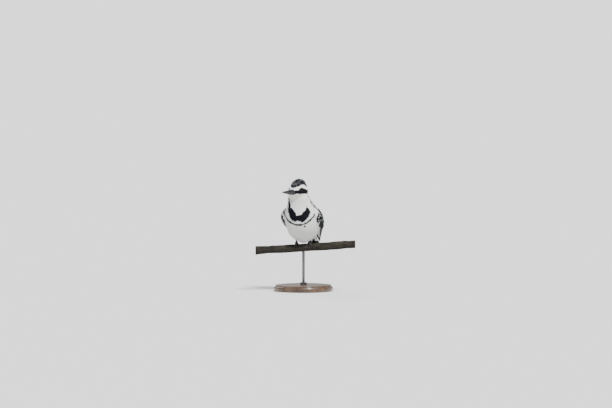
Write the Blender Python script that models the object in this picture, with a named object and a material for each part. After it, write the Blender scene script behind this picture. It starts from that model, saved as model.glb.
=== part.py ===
"""A life-size male pied kingfisher on a short cut branch, held by a museum display stand.

The bird is fluffed up and sits upright across the branch, its breast turned a little to one
side and its head turned a little further. +Z is up, and the origin is the middle of the
stand's underside. The shapes are given in millimetres and become metres as meshes are made.

Each part is modelled in a frame of its own: x runs to the bird's left, y to its back and z up.
The bird therefore faces -y. A frame is an empty, and the parts of it are parented to that empty.
"""

from math import cos, pi, radians, sin, sqrt, tan

import bmesh
import bpy
import numpy as np
from mathutils import Matrix, Vector

MM = 0.001
GAP = 0.34  # between neighbouring solids

# Pose. Angles turn the bird about the vertical, towards its own right when negative.
PERCH_TOP = 100.0
BODY_YAW = -15.0
HEAD_YAW = -25.0
HEAD_PITCH = -3.0  # a negative pitch lifts the bill
HEAD_CENTRE = (-13.5, -16.0, PERCH_TOP + 112.0)
TAIL_ROOT = (0.0, 40.0, 32.0)  # in the bird's frame
TAIL_DROOP = -35.0

# Perch and stand
PERCH_RADIUS = 8.6
PERCH_SPAN = (-101.0, 109.0)
PERCH_TILT = 3.5
PERCH_SIDES = 14
PERCH_RINGS = 16
ROD_RADIUS = 3.0
ROD_INTO_PERCH = 5.0
COLLAR_RADIUS = 7.0
COLLAR_HEIGHT = 5.0
BASE_RADIUS = 62.0
BASE_HEIGHT = 13.0
BASE_CHAMFER = 2.0

# Head and bill, in the head's frame
EYE_RADIUS = 4.6
EYE_CENTRE = (11.2, -7.5, 2.0)
HEAD_CUT = ((0.0, 2.0, -13.2), (0.0, -0.28, 1.0))  # a point and the normal of the cut below the head
NECK_CUT = ((0.0, -8.0, 84.0), (0.0, -0.16, 1.0))  # the same, below the neck, in the bird's frame
RUMP_CUT = ((0.0, 2.0, 0.0), (0.0, -1.0, 0.0))  # the same, at the tail coverts, in the tail's frame
WING_CUT_Y = 17.0  # where the shoulder part of a wing ends, in the bird's frame

# Legs and feet
FOOT_X = {"right": -14.5, "left": 12.5}
ANKLE_X = {"right": -13.6, "left": 18.5}
ANKLE_BACK = 6.0
ANKLE_RISE = 14.5  # over the top of the perch
TARSUS_RADIUS = 1.75
TOE_TIP_RADIUS = 1.0
CLAW_ANGLE = 30.0  # round the perch, from base to point
CLAW_CLEARANCE = 2.0  # the same, between the toe and its claw
CLAW_RADII = (0.9, 0.84, 0.68, 0.42, 0.16)

# z, half width, y at the sides, y in front, y behind, sideways shift
TRUNK = (
    (1.5, 4.5, 3.0, -2.0, 7.0, 0.0),
    (4.0, 11.0, 3.0, -9.5, 15.0, 0.0),
    (9.0, 18.5, 3.0, -18.0, 27.0, -0.5),
    (16.0, 25.5, 4.0, -26.5, 38.0, -1.5),
    (24.0, 30.5, 4.0, -32.5, 46.0, -1.5),
    (32.0, 34.0, 4.0, -37.0, 47.0, -1.0),
    (41.0, 36.5, 2.0, -39.5, 43.0, -0.5),
    (52.0, 38.0, 0.0, -41.0, 36.0, 0.0),
    (62.0, 38.0, -2.0, -40.0, 30.0, -0.5),
    (71.0, 35.0, -4.0, -37.0, 25.0, -1.5),
    (80.0, 30.0, -6.0, -33.0, 20.0, -3.0),
    (88.0, 26.0, -8.0, -30.0, 16.0, -5.0),
    (97.0, 23.0, -10.0, -28.0, 13.0, -8.0),
    (106.0, 20.0, -12.0, -26.0, 10.0, -10.0),
)
# y, half width, height above the middle, depth below it
HEAD = (
    (-21.5, 5.0, 4.5, 7.0),
    (-18.0, 9.8, 9.0, 9.4),
    (-12.0, 13.6, 13.2, 11.8),
    (-4.0, 15.4, 15.2, 14.0),
    (4.0, 16.8, 16.0, 15.5),
    (12.0, 17.2, 15.5, 16.0),
    (20.0, 16.2, 13.0, 15.5),
    (27.0, 12.5, 8.8, 12.0),
    (31.0, 6.0, 4.5, 6.0),
)
# y, half width, top, bottom
CREST = (
    (-20.0, 5.0, 8.0, 3.5),
    (-16.5, 10.2, 12.0, 4.5),
    (-10.0, 12.8, 16.8, 6.5),
    (-2.0, 13.0, 21.2, 8.5),
    (7.0, 12.0, 23.6, 9.0),
    (16.0, 11.0, 23.2, 8.0),
    (25.0, 9.0, 19.8, 5.0),
    (33.0, 6.0, 14.8, 2.5),
    (38.5, 2.0, 10.4, 5.0),
)
# y, half width, ridge of the upper half, line where the halves meet, keel of the lower half
BILL = (
    (-12.0, 6.0, 3.2, -4.2, -9.6),
    (-19.0, 5.7, 2.8, -4.0, -9.4),
    (-28.0, 4.8, 1.9, -3.8, -8.9),
    (-40.0, 3.9, 0.7, -3.6, -8.0),
    (-52.0, 3.0, -0.6, -3.5, -6.9),
    (-63.0, 2.05, -1.8, -3.45, -5.6),
    (-71.0, 1.2, -2.6, -3.4, -4.6),
    (-75.5, 0.5, -3.1, -3.4, -3.9),
)
# y along the tail, half width, height above the middle, depth below it
RUMP = (
    (-16.0, 15.0, 13.0, 15.0),
    (0.0, 14.0, 9.0, 12.5),
    (12.0, 12.0, 6.0, 10.0),
    (24.0, 10.0, 4.0, 7.5),
    (36.0, 8.0, 2.6, 5.0),
    (45.0, 5.0, 1.8, 2.8),
)
# y along the tail, half width, half thickness, drop of the edges
TAIL = (
    (8.0, 6.0, 1.3, 0.8),
    (30.0, 8.5, 1.2, 1.2),
    (50.0, 10.0, 1.0, 1.6),
    (68.0, 11.3, 0.8, 2.0),
    (75.0, 10.6, 0.7, 2.0),
    (79.0, 6.5, 0.6, 1.2),
)
# y, then x and z of the outer face's lower edge, its middle and its upper edge, then thickness
WING = (
    (-26.0, 34.0, 56.0, 36.0, 58.5, 35.0, 61.0, 3.0),
    (-22.0, 34.5, 48.5, 39.5, 58.0, 33.5, 67.5, 6.5),
    (-13.0, 35.0, 40.5, 42.8, 57.0, 33.0, 74.0, 9.5),
    (0.0, 36.0, 34.0, 43.8, 54.5, 31.0, 75.5, 10.0),
    (15.0, 35.0, 28.0, 41.0, 47.5, 23.0, 69.5, 9.5),
    (32.0, 30.5, 21.5, 33.5, 37.5, 9.5, 57.0, 8.0),
    (50.0, 24.5, 14.5, 25.5, 26.0, 4.5, 39.5, 6.0),
    (68.0, 19.0, 7.5, 18.5, 15.0, 4.0, 22.5, 4.2),
    (84.0, 15.0, 1.8, 13.8, 6.0, 6.0, 8.6, 2.8),
    (94.0, 12.0, -3.0, 11.2, -1.2, 9.0, -0.4, 1.5),
)
WING_OUT = {"left": 0.6, "right": 3.6}  # how far the front of the wing stands off the body's side
WING_OUT_SPAN = (45.0, -5.0)  # y where the wing starts to stand off, and where it does so in full
# x at the root, x at the tip, angle where it starts and ends, radius at the root.
# Angles run round the perch from its top, forwards. x is outwards from the body.
TOES = {
    "1": (0.2, -0.8, -6.0, -62.0, 1.5),
    "2": (-1.4, -5.6, 8.0, 62.0, 1.35),
    "3": (0.2, 0.6, 8.0, 84.0, 1.45),
    "4": (1.8, 3.6, 8.0, 73.0, 1.35),
}
# radii of the pads that the toes and the thigh's feathers grow from
SOLE = (3.6, 4.2, 2.1)
THIGH = (6.4, 7.4, 7.5)
THIGH_RISE = 18.5

FINISHES = {
    "white_feather": ((0.86, 0.86, 0.83), 0.85, 0.0),
    "black_feather": ((0.025, 0.026, 0.03), 0.75, 0.0),
    "pied_feather": ((0.38, 0.38, 0.38), 0.8, 0.0),
    "bill_horn": ((0.035, 0.038, 0.042), 0.4, 0.0),
    "eye": ((0.03, 0.018, 0.012), 0.08, 0.0),
    "foot_skin": ((0.045, 0.04, 0.04), 0.6, 0.0),
    "claw_horn": ((0.02, 0.02, 0.02), 0.35, 0.0),
    "bark": ((0.21, 0.18, 0.15), 0.95, 0.0),
    "stand_wood": ((0.16, 0.085, 0.045), 0.45, 0.0),
    "stand_steel": ((0.55, 0.55, 0.56), 0.3, 1.0),
}


# --- Blender helpers ---


def clear_scene():
    for obj in list(bpy.data.objects):
        bpy.data.objects.remove(obj)


def finish_of(name):
    """The material of that finish, made the first time it is asked for."""
    material = bpy.data.materials.get(name)
    if material:
        return material
    colour, roughness, metallic = FINISHES[name]
    material = bpy.data.materials.new(name)
    material.use_nodes = True
    shader = material.node_tree.nodes["Principled BSDF"]
    shader.inputs["Base Color"].default_value = (*colour, 1.0)
    shader.inputs["Roughness"].default_value = roughness
    shader.inputs["Metallic"].default_value = metallic
    return material


def add_frame(name, place, angles=(0.0, 0.0, 0.0), parent=None):
    """An empty at a place in millimetres, turned by angles in degrees."""
    frame = bpy.data.objects.new(name, None)
    frame.location = Vector(place) * MM
    frame.rotation_euler = [radians(a) for a in angles]
    frame.parent = parent
    bpy.context.scene.collection.objects.link(frame)
    bpy.context.view_layer.update()
    return frame


def add_object(name, shape, finish=None, frame=None):
    """An object from a bmesh in millimetres. Without a finish it is a helper, and isn't part of the model."""
    bmesh.ops.recalc_face_normals(shape, faces=shape.faces)
    bmesh.ops.scale(shape, vec=(MM, MM, MM), verts=shape.verts)
    mesh = bpy.data.meshes.new(name)
    shape.to_mesh(mesh)
    shape.free()
    mesh.shade_smooth()
    mesh.set_sharp_from_angle(angle=radians(40))
    obj = bpy.data.objects.new(name, mesh)
    bpy.context.scene.collection.objects.link(obj)
    obj.parent = frame
    if finish:
        mesh.materials.append(finish_of(finish))
    else:
        make_helper(obj)
    bpy.context.view_layer.update()
    return obj


def make_helper(obj):
    obj.hide_render = True
    obj.display_type = "WIRE"


def apply_modifiers(obj):
    """Replaces the object's mesh with its evaluated one."""
    bpy.context.view_layer.update()
    evaluated = obj.evaluated_get(bpy.context.evaluated_depsgraph_get())
    mesh = bpy.data.meshes.new_from_object(evaluated)
    obj.modifiers.clear()
    obj.data = mesh


def combine(obj, other, operation):
    """Joins the other object to this one, or cuts it away."""
    modifier = obj.modifiers.new(operation.lower(), "BOOLEAN")
    modifier.operation = operation
    modifier.solver = "EXACT"
    modifier.object = other
    apply_modifiers(obj)


def grown_copy(obj, by=GAP):
    """A helper of the same shape, larger all round by a distance in millimetres."""
    shape = bmesh.new()
    shape.from_mesh(obj.data)
    bmesh.ops.triangulate(shape, faces=shape.faces)
    shape.normal_update()
    moved = [v.co + v.normal * by * MM for v in shape.verts]
    for vert, place in zip(shape.verts, moved):
        vert.co = place
    bmesh.ops.scale(shape, vec=(1 / MM, 1 / MM, 1 / MM), verts=shape.verts)
    return add_object(obj.name + "_cutter", shape, frame=obj.parent)


def cut_clear_of(obj, *others):
    """Cuts a pocket in the object round each of the others, with the usual gap."""
    for other in others:
        combine(obj, grown_copy(other), "DIFFERENCE")


def melt_together(obj, others, voxel, smoothing, share):
    """Makes one smooth skin of overlapping solids, with a share of the triangles that gives."""
    for other in others:
        combine(obj, other, "UNION")
    remesh = obj.modifiers.new("remesh", "REMESH")
    remesh.mode = "VOXEL"
    remesh.voxel_size = voxel * MM
    remesh.adaptivity = 0.0
    smooth = obj.modifiers.new("smooth", "SMOOTH")
    smooth.iterations = smoothing
    decimate = obj.modifiers.new("decimate", "DECIMATE")
    decimate.ratio = share
    apply_modifiers(obj)


def half_beyond(obj, name, finish, place, normal):
    """Takes the part of the object that lies beyond a plane off it, as an object of its own."""
    normal = Vector(normal).normalized()
    place = Vector(place) * MM
    halves = []
    for direction in (normal, -normal):
        shape = bmesh.new()
        shape.from_mesh(obj.data)
        bmesh.ops.bisect_plane(
            shape,
            geom=[*shape.verts, *shape.edges, *shape.faces],
            plane_co=place + direction * 0.5 * GAP * MM,
            plane_no=direction,
            clear_inner=True,
        )
        rim = [edge for edge in shape.edges if edge.is_boundary]
        bmesh.ops.holes_fill(shape, edges=rim)
        bmesh.ops.triangulate(shape, faces=shape.faces)
        bmesh.ops.scale(shape, vec=(1 / MM, 1 / MM, 1 / MM), verts=shape.verts)
        halves.append(shape)
    beyond = add_object(name, halves[0], finish, obj.parent)
    bmesh.ops.recalc_face_normals(halves[1], faces=halves[1].faces)
    bmesh.ops.scale(halves[1], vec=(MM, MM, MM), verts=halves[1].verts)
    halves[1].to_mesh(obj.data)
    halves[1].free()
    return beyond


# --- Shapes ---


def along(rows, count, ends=0.0):
    """Rows of numbers, the first of them a position, resampled along a smooth curve.

    With ends at 1 the samples crowd towards both ends, as rings near a pole do."""
    table = np.array(rows, float)
    knots = table[:, 0]
    slopes = np.gradient(table[:, 1:], knots, axis=0)
    even = np.linspace(0.0, 1.0, count)
    share = even + ends * (0.5 - 0.5 * np.cos(pi * even) - even)
    at = knots[0] + (knots[-1] - knots[0]) * share
    order = np.sign(knots[-1] - knots[0])
    cell = np.clip(np.searchsorted(order * knots, order * at, "right") - 1, 0, len(knots) - 2)
    width = (knots[cell + 1] - knots[cell])[:, None]
    t = (at - knots[cell])[:, None] / width
    start, end = table[cell, 1:], table[cell + 1, 1:]
    values = (
        start * (2 * t**3 - 3 * t**2 + 1)
        + end * (3 * t**2 - 2 * t**3)
        + slopes[cell] * width * (t**3 - 2 * t**2 + t)
        + slopes[cell + 1] * width * (t**3 - t**2)
    )
    return np.column_stack([at, values])


def oval(half_width, low, high, middle=0.0, sides=24, power=2.0):
    """Points (across, up) round an oval whose upper and lower halves may differ."""
    points = []
    for i in range(sides):
        angle = 2 * pi * i / sides
        across = np.sign(cos(angle)) * abs(cos(angle)) ** (2 / power)
        up = np.sign(sin(angle)) * abs(sin(angle)) ** (2 / power)
        reach = (high - middle) if up > 0 else (middle - low)
        points.append((half_width * across, middle + reach * up))
    return points


def loft(rings):
    """A closed bmesh through rings that all have the same number of points."""
    shape = bmesh.new()
    loops = [[shape.verts.new(point) for point in ring] for ring in rings]
    count = len(loops[0])
    for near, far in zip(loops, loops[1:]):
        for i in range(count):
            j = (i + 1) % count
            shape.faces.new((near[i], near[j], far[j], far[i]))
    shape.faces.new(loops[0])
    shape.faces.new(reversed(loops[-1]))
    return shape


def lengthwise(rows, count, sides, power=2.0, ends=0.0):
    """A loft along y through ovals: y, half width, height above the middle, depth below it."""
    rings = []
    for y, half_width, above, below in along(rows, count, ends):
        points = oval(half_width, -below, above, sides=sides, power=power)
        rings.append([(x, y, z) for x, z in points])
    return loft(rings)


def tube(path, radii, sides):
    """A closed tube round a path of points, which has no sharp bends."""
    rings = []
    for i, (place, radius) in enumerate(zip(path, radii)):
        ahead = Vector(path[min(i + 1, len(path) - 1)]) - Vector(path[max(i - 1, 0)])
        turn = ahead.to_track_quat("Z", "X")
        ring = [turn @ Vector((x, y, 0)) for x, y in oval(radius, -radius, radius, sides=sides)]
        rings.append([Vector(place) + offset for offset in ring])
    return loft(rings)


def ellipsoid(radii, centre, turn=None, levels=3):
    shape = bmesh.new()
    bmesh.ops.create_icosphere(shape, subdivisions=levels, radius=1.0)
    matrix = Matrix.Translation(centre) @ (turn or Matrix()) @ Matrix.Diagonal((*radii, 1.0))
    bmesh.ops.transform(shape, matrix=matrix, verts=shape.verts)
    return shape


# --- The bird ---


def trunk_shape():
    rings = []
    for z, half_width, side_y, front_y, back_y, shift in along(TRUNK, 40):
        points = oval(half_width, front_y, back_y, side_y, sides=40, power=2.25)
        rings.append([(x + shift, y, z) for x, y in points])
    return loft(rings)


def build_flesh(frames):
    """The feathered body as one skin, then its eyes, bill, tail, wings and legs let into it."""
    flesh = add_object("flesh", trunk_shape(), "white_feather", frames["bird"])
    head = add_object("head_form", lengthwise(HEAD, 22, 28, 2.15, 0.8), frame=frames["head"])
    rump = add_object("rump_form", lengthwise(RUMP, 18, 24), frame=frames["tail"])
    thighs = [thigh_form(side) for side in FOOT_X]
    melt_together(flesh, [head, rump, *thighs], voxel=2.0, smoothing=7, share=0.1)
    return flesh


def thigh_form(side):
    shape = ellipsoid(THIGH, ankle_of(side) + Vector((0.0, -1.5, THIGH_RISE - ANKLE_RISE)))
    return add_object("thigh_form_" + side, shape)


def divide_flesh(flesh, frames):
    """Parts the body with thin cuts into head, neck, trunk and tail coverts."""
    to_flesh = flesh.matrix_world.inverted()
    cuts = (
        ("head", "pied_feather", "head", HEAD_CUT),
        ("neck", "white_feather", "bird", NECK_CUT),
        ("tail_coverts", "white_feather", "tail", RUMP_CUT),
    )
    for name, finish, frame, (place, normal) in cuts:
        into = to_flesh @ frames[frame].matrix_world
        place = into @ (Vector(place) * MM) / MM
        normal = into.to_3x3() @ Vector(normal)
        if name == "tail_coverts":
            normal = -normal
        half_beyond(flesh, name, finish, place, normal)
    flesh.name = flesh.data.name = "trunk"


def build_crest(flesh, frames):
    """The raised feathers of the crown, which sit on the head like a cap."""
    rings = []
    for y, half_width, top, bottom in along(CREST, 13, 0.5):
        middle = bottom + 0.35 * (top - bottom)
        points = oval(half_width, bottom, top, middle, sides=14, power=1.9)
        rings.append([(x, y, z) for x, z in points])
    crest = add_object("crest", loft(rings), "black_feather", frames["head"])
    cut_clear_of(crest, flesh)


def bill_half(upper):
    """One half of the bill, flat where it meets the other."""
    rings = []
    for y, half_width, ridge, meeting, keel in along(BILL, 12):
        seam = meeting + (0.5 if upper else -0.5) * GAP
        outer = max(ridge - seam, 0.2) if upper else max(seam - keel, 0.2)
        sign = 1 if upper else -1
        arch = [(half_width * cos(pi * i / 8), outer * sin(pi * i / 8) ** 0.85) for i in range(9)]
        rings.append([(x, y, seam + sign * rise) for x, rise in arch])
    return loft(rings)


def build_bill(frames):
    parts = []
    for name, upper in (("bill_upper", True), ("bill_lower", False)):
        parts.append(add_object(name, bill_half(upper), "bill_horn", frames["head"]))
    return parts


def build_eyes(frames):
    eyes = []
    for side, sign in (("left", 1), ("right", -1)):
        x, y, z = EYE_CENTRE
        shape = ellipsoid([EYE_RADIUS] * 3, (sign * x, y, z), levels=2)
        eyes.append(add_object("eye_" + side, shape, "eye", frames["head"]))
    return eyes


def wing_ring(y, lower, middle, upper, thickness):
    """One section of the left wing: its outer face from the lower to the upper edge, then its inner face."""
    bend = 2 * middle - 0.5 * (lower + upper)
    points = []
    for inner, shares in ((False, np.linspace(0, 1, 9)), (True, np.linspace(0.875, 0.125, 7))):
        for t in shares:
            x, z = lower * (1 - t) ** 2 + bend * 2 * t * (1 - t) + upper * t**2
            if inner:
                along_x, along_z = (bend - lower) * (1 - t) + (upper - bend) * t
                depth = thickness * sqrt(1 - (2 * t - 1) ** 4) / np.hypot(along_x, along_z)
                x, z = x - along_z * depth, z + along_x * depth
            points.append((x, y, z))
    return points


def build_wing(side, frames):
    """A folded wing, in a shoulder part and a part of long flight feathers."""
    sign = 1 if side == "left" else -1
    start, full = WING_OUT_SPAN
    rings = []
    for y, *edges, thickness in along(WING, 16, 0.35):
        ring = wing_ring(y, *np.reshape(edges, (3, 2)), thickness)
        out = WING_OUT[side] * np.clip((start - y) / (start - full), 0, 1)
        rings.append([(sign * (x + out), y, z) for x, y, z in ring])
    name = "wing_" + side
    wing = add_object(name + "_shoulder", loft(rings), "pied_feather", frames["bird"])
    flight = half_beyond(
        wing, name + "_flight", "black_feather", (0.0, WING_CUT_Y, 48.0), (0.0, 1.0, -0.5)
    )
    return [wing, flight]


def build_tail(frames):
    """The folded tail: a thin plate with drooping edges."""
    rings = []
    for y, half_width, half_thickness, drop in along(TAIL, 11, 0.6):
        points = oval(half_width, -half_thickness, half_thickness, sides=14, power=2.6)
        rings.append([(x, y, z - drop * (x / half_width) ** 2) for x, z in points])
    return add_object("tail", loft(rings), "pied_feather", frames["tail"])


# --- Legs and feet ---


def perch_axis(x):
    """Height of the perch's middle line at x."""
    return PERCH_TOP - PERCH_RADIUS + x * tan(radians(PERCH_TILT))


def ankle_of(side):
    x = ANKLE_X[side]
    return Vector((x, ANKLE_BACK, perch_axis(x) + PERCH_RADIUS + ANKLE_RISE))


def round_perch(side, angle, height, across):
    """A point at a height over the perch's surface, an angle forwards from its top and a distance outwards."""
    x = FOOT_X[side] + np.sign(FOOT_X[side]) * across
    reach = PERCH_RADIUS + height
    turn = radians(angle)
    return x, -reach * sin(turn), perch_axis(x) + reach * cos(turn)


def toe_path(side, toe, first, last, count, radii):
    """Points along a toe or its claw, between two shares of the toe's own length."""
    x_root, x_tip, start, end, _ = TOES[toe]
    path = []
    for share, radius in zip(np.linspace(first, last, count), radii):
        angle = start + (end - start) * share
        path.append(round_perch(side, angle, GAP + radius, x_root + (x_tip - x_root) * share))
    return path


def build_foot(side):
    """The sole and its four toes as one piece, and the claws as pieces of their own."""
    x, y, z = round_perch(side, -3.0, SOLE[2] + 0.6, 0.3)
    foot = add_object("foot_" + side, ellipsoid(SOLE, (x, y, z)), "foot_skin")
    toes = []
    for toe, (_, _, _, _, root_radius) in TOES.items():
        radii = np.linspace(root_radius, TOE_TIP_RADIUS, 9)
        path = toe_path(side, toe, 0.0, 1.0, 9, radii)
        toes.append(add_object(f"toe_form_{side}_{toe}", tube(path, radii, 10)))
    melt_together(foot, toes, voxel=0.5, smoothing=2, share=0.085)
    return foot


def build_claws(side):
    """Claws that carry on round the perch from the ends of the toes."""
    for toe, (_, _, start, end, _) in TOES.items():
        clear = 1.0 + CLAW_CLEARANCE / abs(end - start)
        reach = CLAW_ANGLE / abs(end - start)
        path = toe_path(side, toe, clear, clear + reach, len(CLAW_RADII), CLAW_RADII)
        add_object(f"claw_{side}_{toe}", tube(path, CLAW_RADII, 7), "claw_horn")


def build_leg(side, foot):
    """The bare lower leg, from the sole up into the feathers of the thigh."""
    low = Vector(round_perch(side, -6.0, SOLE[2] + 0.4, 0.2))
    high = ankle_of(side)
    path = [low.lerp(high, t) for t in (0.0, 0.25, 0.5, 0.75, 1.0)]
    radii = [TARSUS_RADIUS * wide for wide in (1.1, 0.95, 0.95, 1.05, 1.25)]
    leg = add_object("leg_" + side, tube(path, radii, 10), "foot_skin")
    cut_clear_of(leg, foot)
    return leg


# --- Perch and stand ---


def perch_radius(x):
    """Radius of the branch at x: even under the feet, with soft swellings beyond them."""
    beyond = min(1.0, max(0.0, (abs(x) - 26.0) / 20.0))
    return PERCH_RADIUS + beyond * (0.45 * sin(x / 9.0) + 0.35 * sin(x / 21.0 + 1.0))


def build_perch():
    rings = []
    for x in np.linspace(*PERCH_SPAN, PERCH_RINGS):
        radius = perch_radius(x)
        sway = 1.6 * (abs(x) / 100.0) ** 2
        points = oval(radius, -radius, radius, sides=PERCH_SIDES)
        rings.append([(x, y + sway, perch_axis(x) + z) for y, z in points])
    return add_object("perch", loft(rings), "bark")


def turned(profile, sides):
    """A solid turned about z, from (radius, z) pairs."""
    rings = []
    for radius, z in profile:
        rings.append([(x, y, z) for x, y in oval(radius, -radius, radius, sides=sides)])
    return loft(rings)


def build_stand(perch):
    edge, top = BASE_RADIUS - BASE_CHAMFER, BASE_HEIGHT - BASE_CHAMFER
    base = [(edge, 0.0), (BASE_RADIUS, BASE_CHAMFER), (BASE_RADIUS, top), (edge, BASE_HEIGHT)]
    add_object("stand_base", turned(base, 44), "stand_wood")
    foot = BASE_HEIGHT + GAP
    shoulder = foot + COLLAR_HEIGHT
    collar = [(COLLAR_RADIUS, foot), (COLLAR_RADIUS, shoulder - 1.0), (COLLAR_RADIUS - 1.0, shoulder)]
    add_object("stand_collar", turned(collar, 22), "stand_steel")
    rod_top = perch_axis(0.0) - PERCH_RADIUS + ROD_INTO_PERCH
    shaft = turned([(ROD_RADIUS, shoulder + GAP), (ROD_RADIUS, rod_top)], 18)
    rod = add_object("stand_rod", shaft, "stand_steel")
    cut_clear_of(perch, rod)


# --- Assembly ---


def build_frames():
    bird = add_frame("bird_frame", (0.0, 0.0, PERCH_TOP), (0.0, 0.0, BODY_YAW))
    head = add_frame("head_frame", HEAD_CENTRE, (HEAD_PITCH, 0.0, HEAD_YAW))
    tail = add_frame("tail_frame", TAIL_ROOT, (TAIL_DROOP, 0.0, 0.0), bird)
    return {"bird": bird, "head": head, "tail": tail}


def main():
    clear_scene()
    frames = build_frames()
    perch = build_perch()
    build_stand(perch)
    flesh = build_flesh(frames)
    for side in FOOT_X:
        foot = build_foot(side)
        build_claws(side)
        leg = build_leg(side, foot)
        cut_clear_of(flesh, foot, leg)
    build_crest(flesh, frames)
    cut_clear_of(flesh, *build_bill(frames), *build_eyes(frames))
    tail = build_tail(frames)
    cut_clear_of(flesh, tail)
    for side in FOOT_X:
        cut_clear_of(flesh, *build_wing(side, frames))
    divide_flesh(flesh, frames)


main()
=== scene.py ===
"""Looks of a life-size male pied kingfisher on a cut branch, held by a small display stand.

Lengths are in millimetres until a mesh is made. Each part of the bird has axes of its own:
x runs to the bird's left, y to its back and z up, so the bird faces -y.
"""

import logging
from collections.abc import Callable
from dataclasses import dataclass
from enum import Enum
from math import cos, pi, radians, sin, tan

import bmesh
import bpy
import numpy as np
from bpy.types import ID, Material, Mesh, Node, NodeSocket, NodeTree, Object
from mathutils import Euler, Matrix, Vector
from mathutils.bvhtree import BVHTree
from mathutils.kdtree import KDTree


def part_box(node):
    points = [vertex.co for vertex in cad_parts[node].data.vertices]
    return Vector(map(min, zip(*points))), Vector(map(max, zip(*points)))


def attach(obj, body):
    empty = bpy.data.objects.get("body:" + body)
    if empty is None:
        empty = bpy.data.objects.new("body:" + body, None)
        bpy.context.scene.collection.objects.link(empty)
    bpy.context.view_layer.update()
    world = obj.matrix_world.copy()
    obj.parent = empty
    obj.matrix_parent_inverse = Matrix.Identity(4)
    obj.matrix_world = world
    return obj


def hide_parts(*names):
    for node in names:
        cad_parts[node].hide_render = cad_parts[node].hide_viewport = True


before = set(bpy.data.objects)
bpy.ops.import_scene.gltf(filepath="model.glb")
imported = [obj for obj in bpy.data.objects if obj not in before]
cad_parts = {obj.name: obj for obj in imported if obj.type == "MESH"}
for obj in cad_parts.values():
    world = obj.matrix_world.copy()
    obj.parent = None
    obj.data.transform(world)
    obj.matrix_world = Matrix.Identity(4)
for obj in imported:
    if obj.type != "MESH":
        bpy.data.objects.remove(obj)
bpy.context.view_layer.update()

log = logging.getLogger("kingfisher")
Array = np.ndarray
Random = np.random.Generator
Pair = tuple[float, float]
Triple = tuple[float, float, float]
Knots = tuple[Pair, ...]  # position and height
Colouring = Callable[[Array, Array, Array, Array], Array]  # from points, feathers, side and along
MM = 0.001
BODY = "root"
COAT = "coat"  # the colour attribute of skin and feathers
FEATHER_MAP = "Feather"  # across and along one feather
BAKE_MAP = "OFBake"
BAKE_PATCH = 0.003
SIDES = (("left", 1.0), ("right", -1.0))
SHOULDERS = {"coat_shoulder_left": 1, "coat_shoulder_right": -1}


# --- Numbers ---


def ease(low: float, high: float, value: Array) -> Array:
    """A soft change from 0 at low to 1 at high.

    Args:
        low: Value where the result leaves 0.
        high: Value where the result reaches 1.
        value: Values to judge.

    Returns:
        Shares from 0 to 1.
    """
    share = np.clip((value - low) / (high - low), 0.0, 1.0)
    return share * share * (3.0 - 2.0 * share)


def unit(vectors: Array) -> Array:
    """Vectors scaled to length 1."""
    return vectors / np.maximum(np.linalg.norm(vectors, axis=-1, keepdims=True), 1e-9)


def across(vectors: Array, normals: Array) -> Array:
    """The directions of vectors within the planes of the normals."""
    return unit(vectors - normals * np.sum(vectors * normals, axis=-1, keepdims=True))


def blend(first: Array, second: Array, share: Array) -> Array:
    """Colours between two sets, by a share for each point."""
    return first + (second - first) * np.asarray(share)[..., None]


def through(knots: Knots, value: Array) -> Array:
    """Reads a value off a line through knots of (position, height)."""
    table = np.array(knots)
    return np.interp(value, table[:, 0], table[:, 1])


class Wobble:
    """Smooth noise that is the same each time, from waves in fixed directions."""

    def __init__(self, size: float, seed: int) -> None:
        """Sets the waves.

        Args:
            size: Rough size of a blotch in millimetres.
            seed: Which of the many patterns to use.
        """
        draw = np.random.default_rng(seed)
        self.waves = draw.normal(size=(3, 9)) * 2.2 / size
        self.phases = draw.uniform(0.0, 2.0 * pi, 9)

    def __call__(self, points: Array) -> Array:
        """Values of about -1 to 1 at the points."""
        return np.sin(points @ self.waves + self.phases).mean(axis=-1) * 2.2


# --- Meshes ---


def linked(name: str, data: ID) -> Object:
    """A new object in the scene."""
    obj = bpy.data.objects.new(name, data)
    bpy.context.scene.collection.objects.link(obj)
    return obj


def mesh_object(name: str, points: Array, triangles: Array) -> Object:
    """A smooth mesh of triangles.

    Args:
        name: Name of the object and its mesh.
        points: Places of the vertices in millimetres.
        triangles: Vertex numbers of each face.

    Returns:
        The object, linked to the scene.
    """
    mesh = bpy.data.meshes.new(name)
    mesh.vertices.add(len(points))
    mesh.vertices.foreach_set("co", (np.asarray(points) * MM).astype(np.float32).ravel())
    mesh.loops.add(3 * len(triangles))
    mesh.loops.foreach_set("vertex_index", np.asarray(triangles, np.int32).ravel())
    mesh.polygons.add(len(triangles))
    mesh.polygons.foreach_set("loop_start", np.arange(0, 3 * len(triangles), 3, dtype=np.int32))
    mesh.update(calc_edges=True)
    mesh.shade_smooth()
    return linked(name, mesh)


def strip(segments: int, lift: int) -> Array:
    """Triangles of a band between a ring that starts at 0 and one that starts at lift."""
    a = np.arange(segments)
    b = (a + 1) % segments
    return np.concatenate([np.column_stack([a, b, b + lift]), np.column_stack([a, b + lift, a + lift])])


def read(rows: object, key: str, kind: type = np.float32) -> Array:
    """Three values for each row of a mesh's data."""
    values = np.empty(3 * len(rows), kind)
    rows.foreach_get(key, values)
    return values.reshape(-1, 3)


def points_of(mesh: Mesh) -> Array:
    """Places of a mesh's vertices in millimetres."""
    return read(mesh.vertices, "co").astype(float) / MM


def normals_of(mesh: Mesh) -> Array:
    """Smooth normals at a mesh's vertices."""
    return read(mesh.vertex_normals, "vector").astype(float)


def triangles_of(mesh: Mesh) -> Array:
    """Vertex numbers of a mesh's triangles."""
    mesh.calc_loop_triangles()
    return read(mesh.loop_triangles, "vertices", np.int32)


def set_points(mesh: Mesh, points: Array) -> None:
    """Moves a mesh's vertices to places in millimetres."""
    mesh.vertices.foreach_set("co", (points * MM).astype(np.float32).ravel())
    mesh.update()


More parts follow.
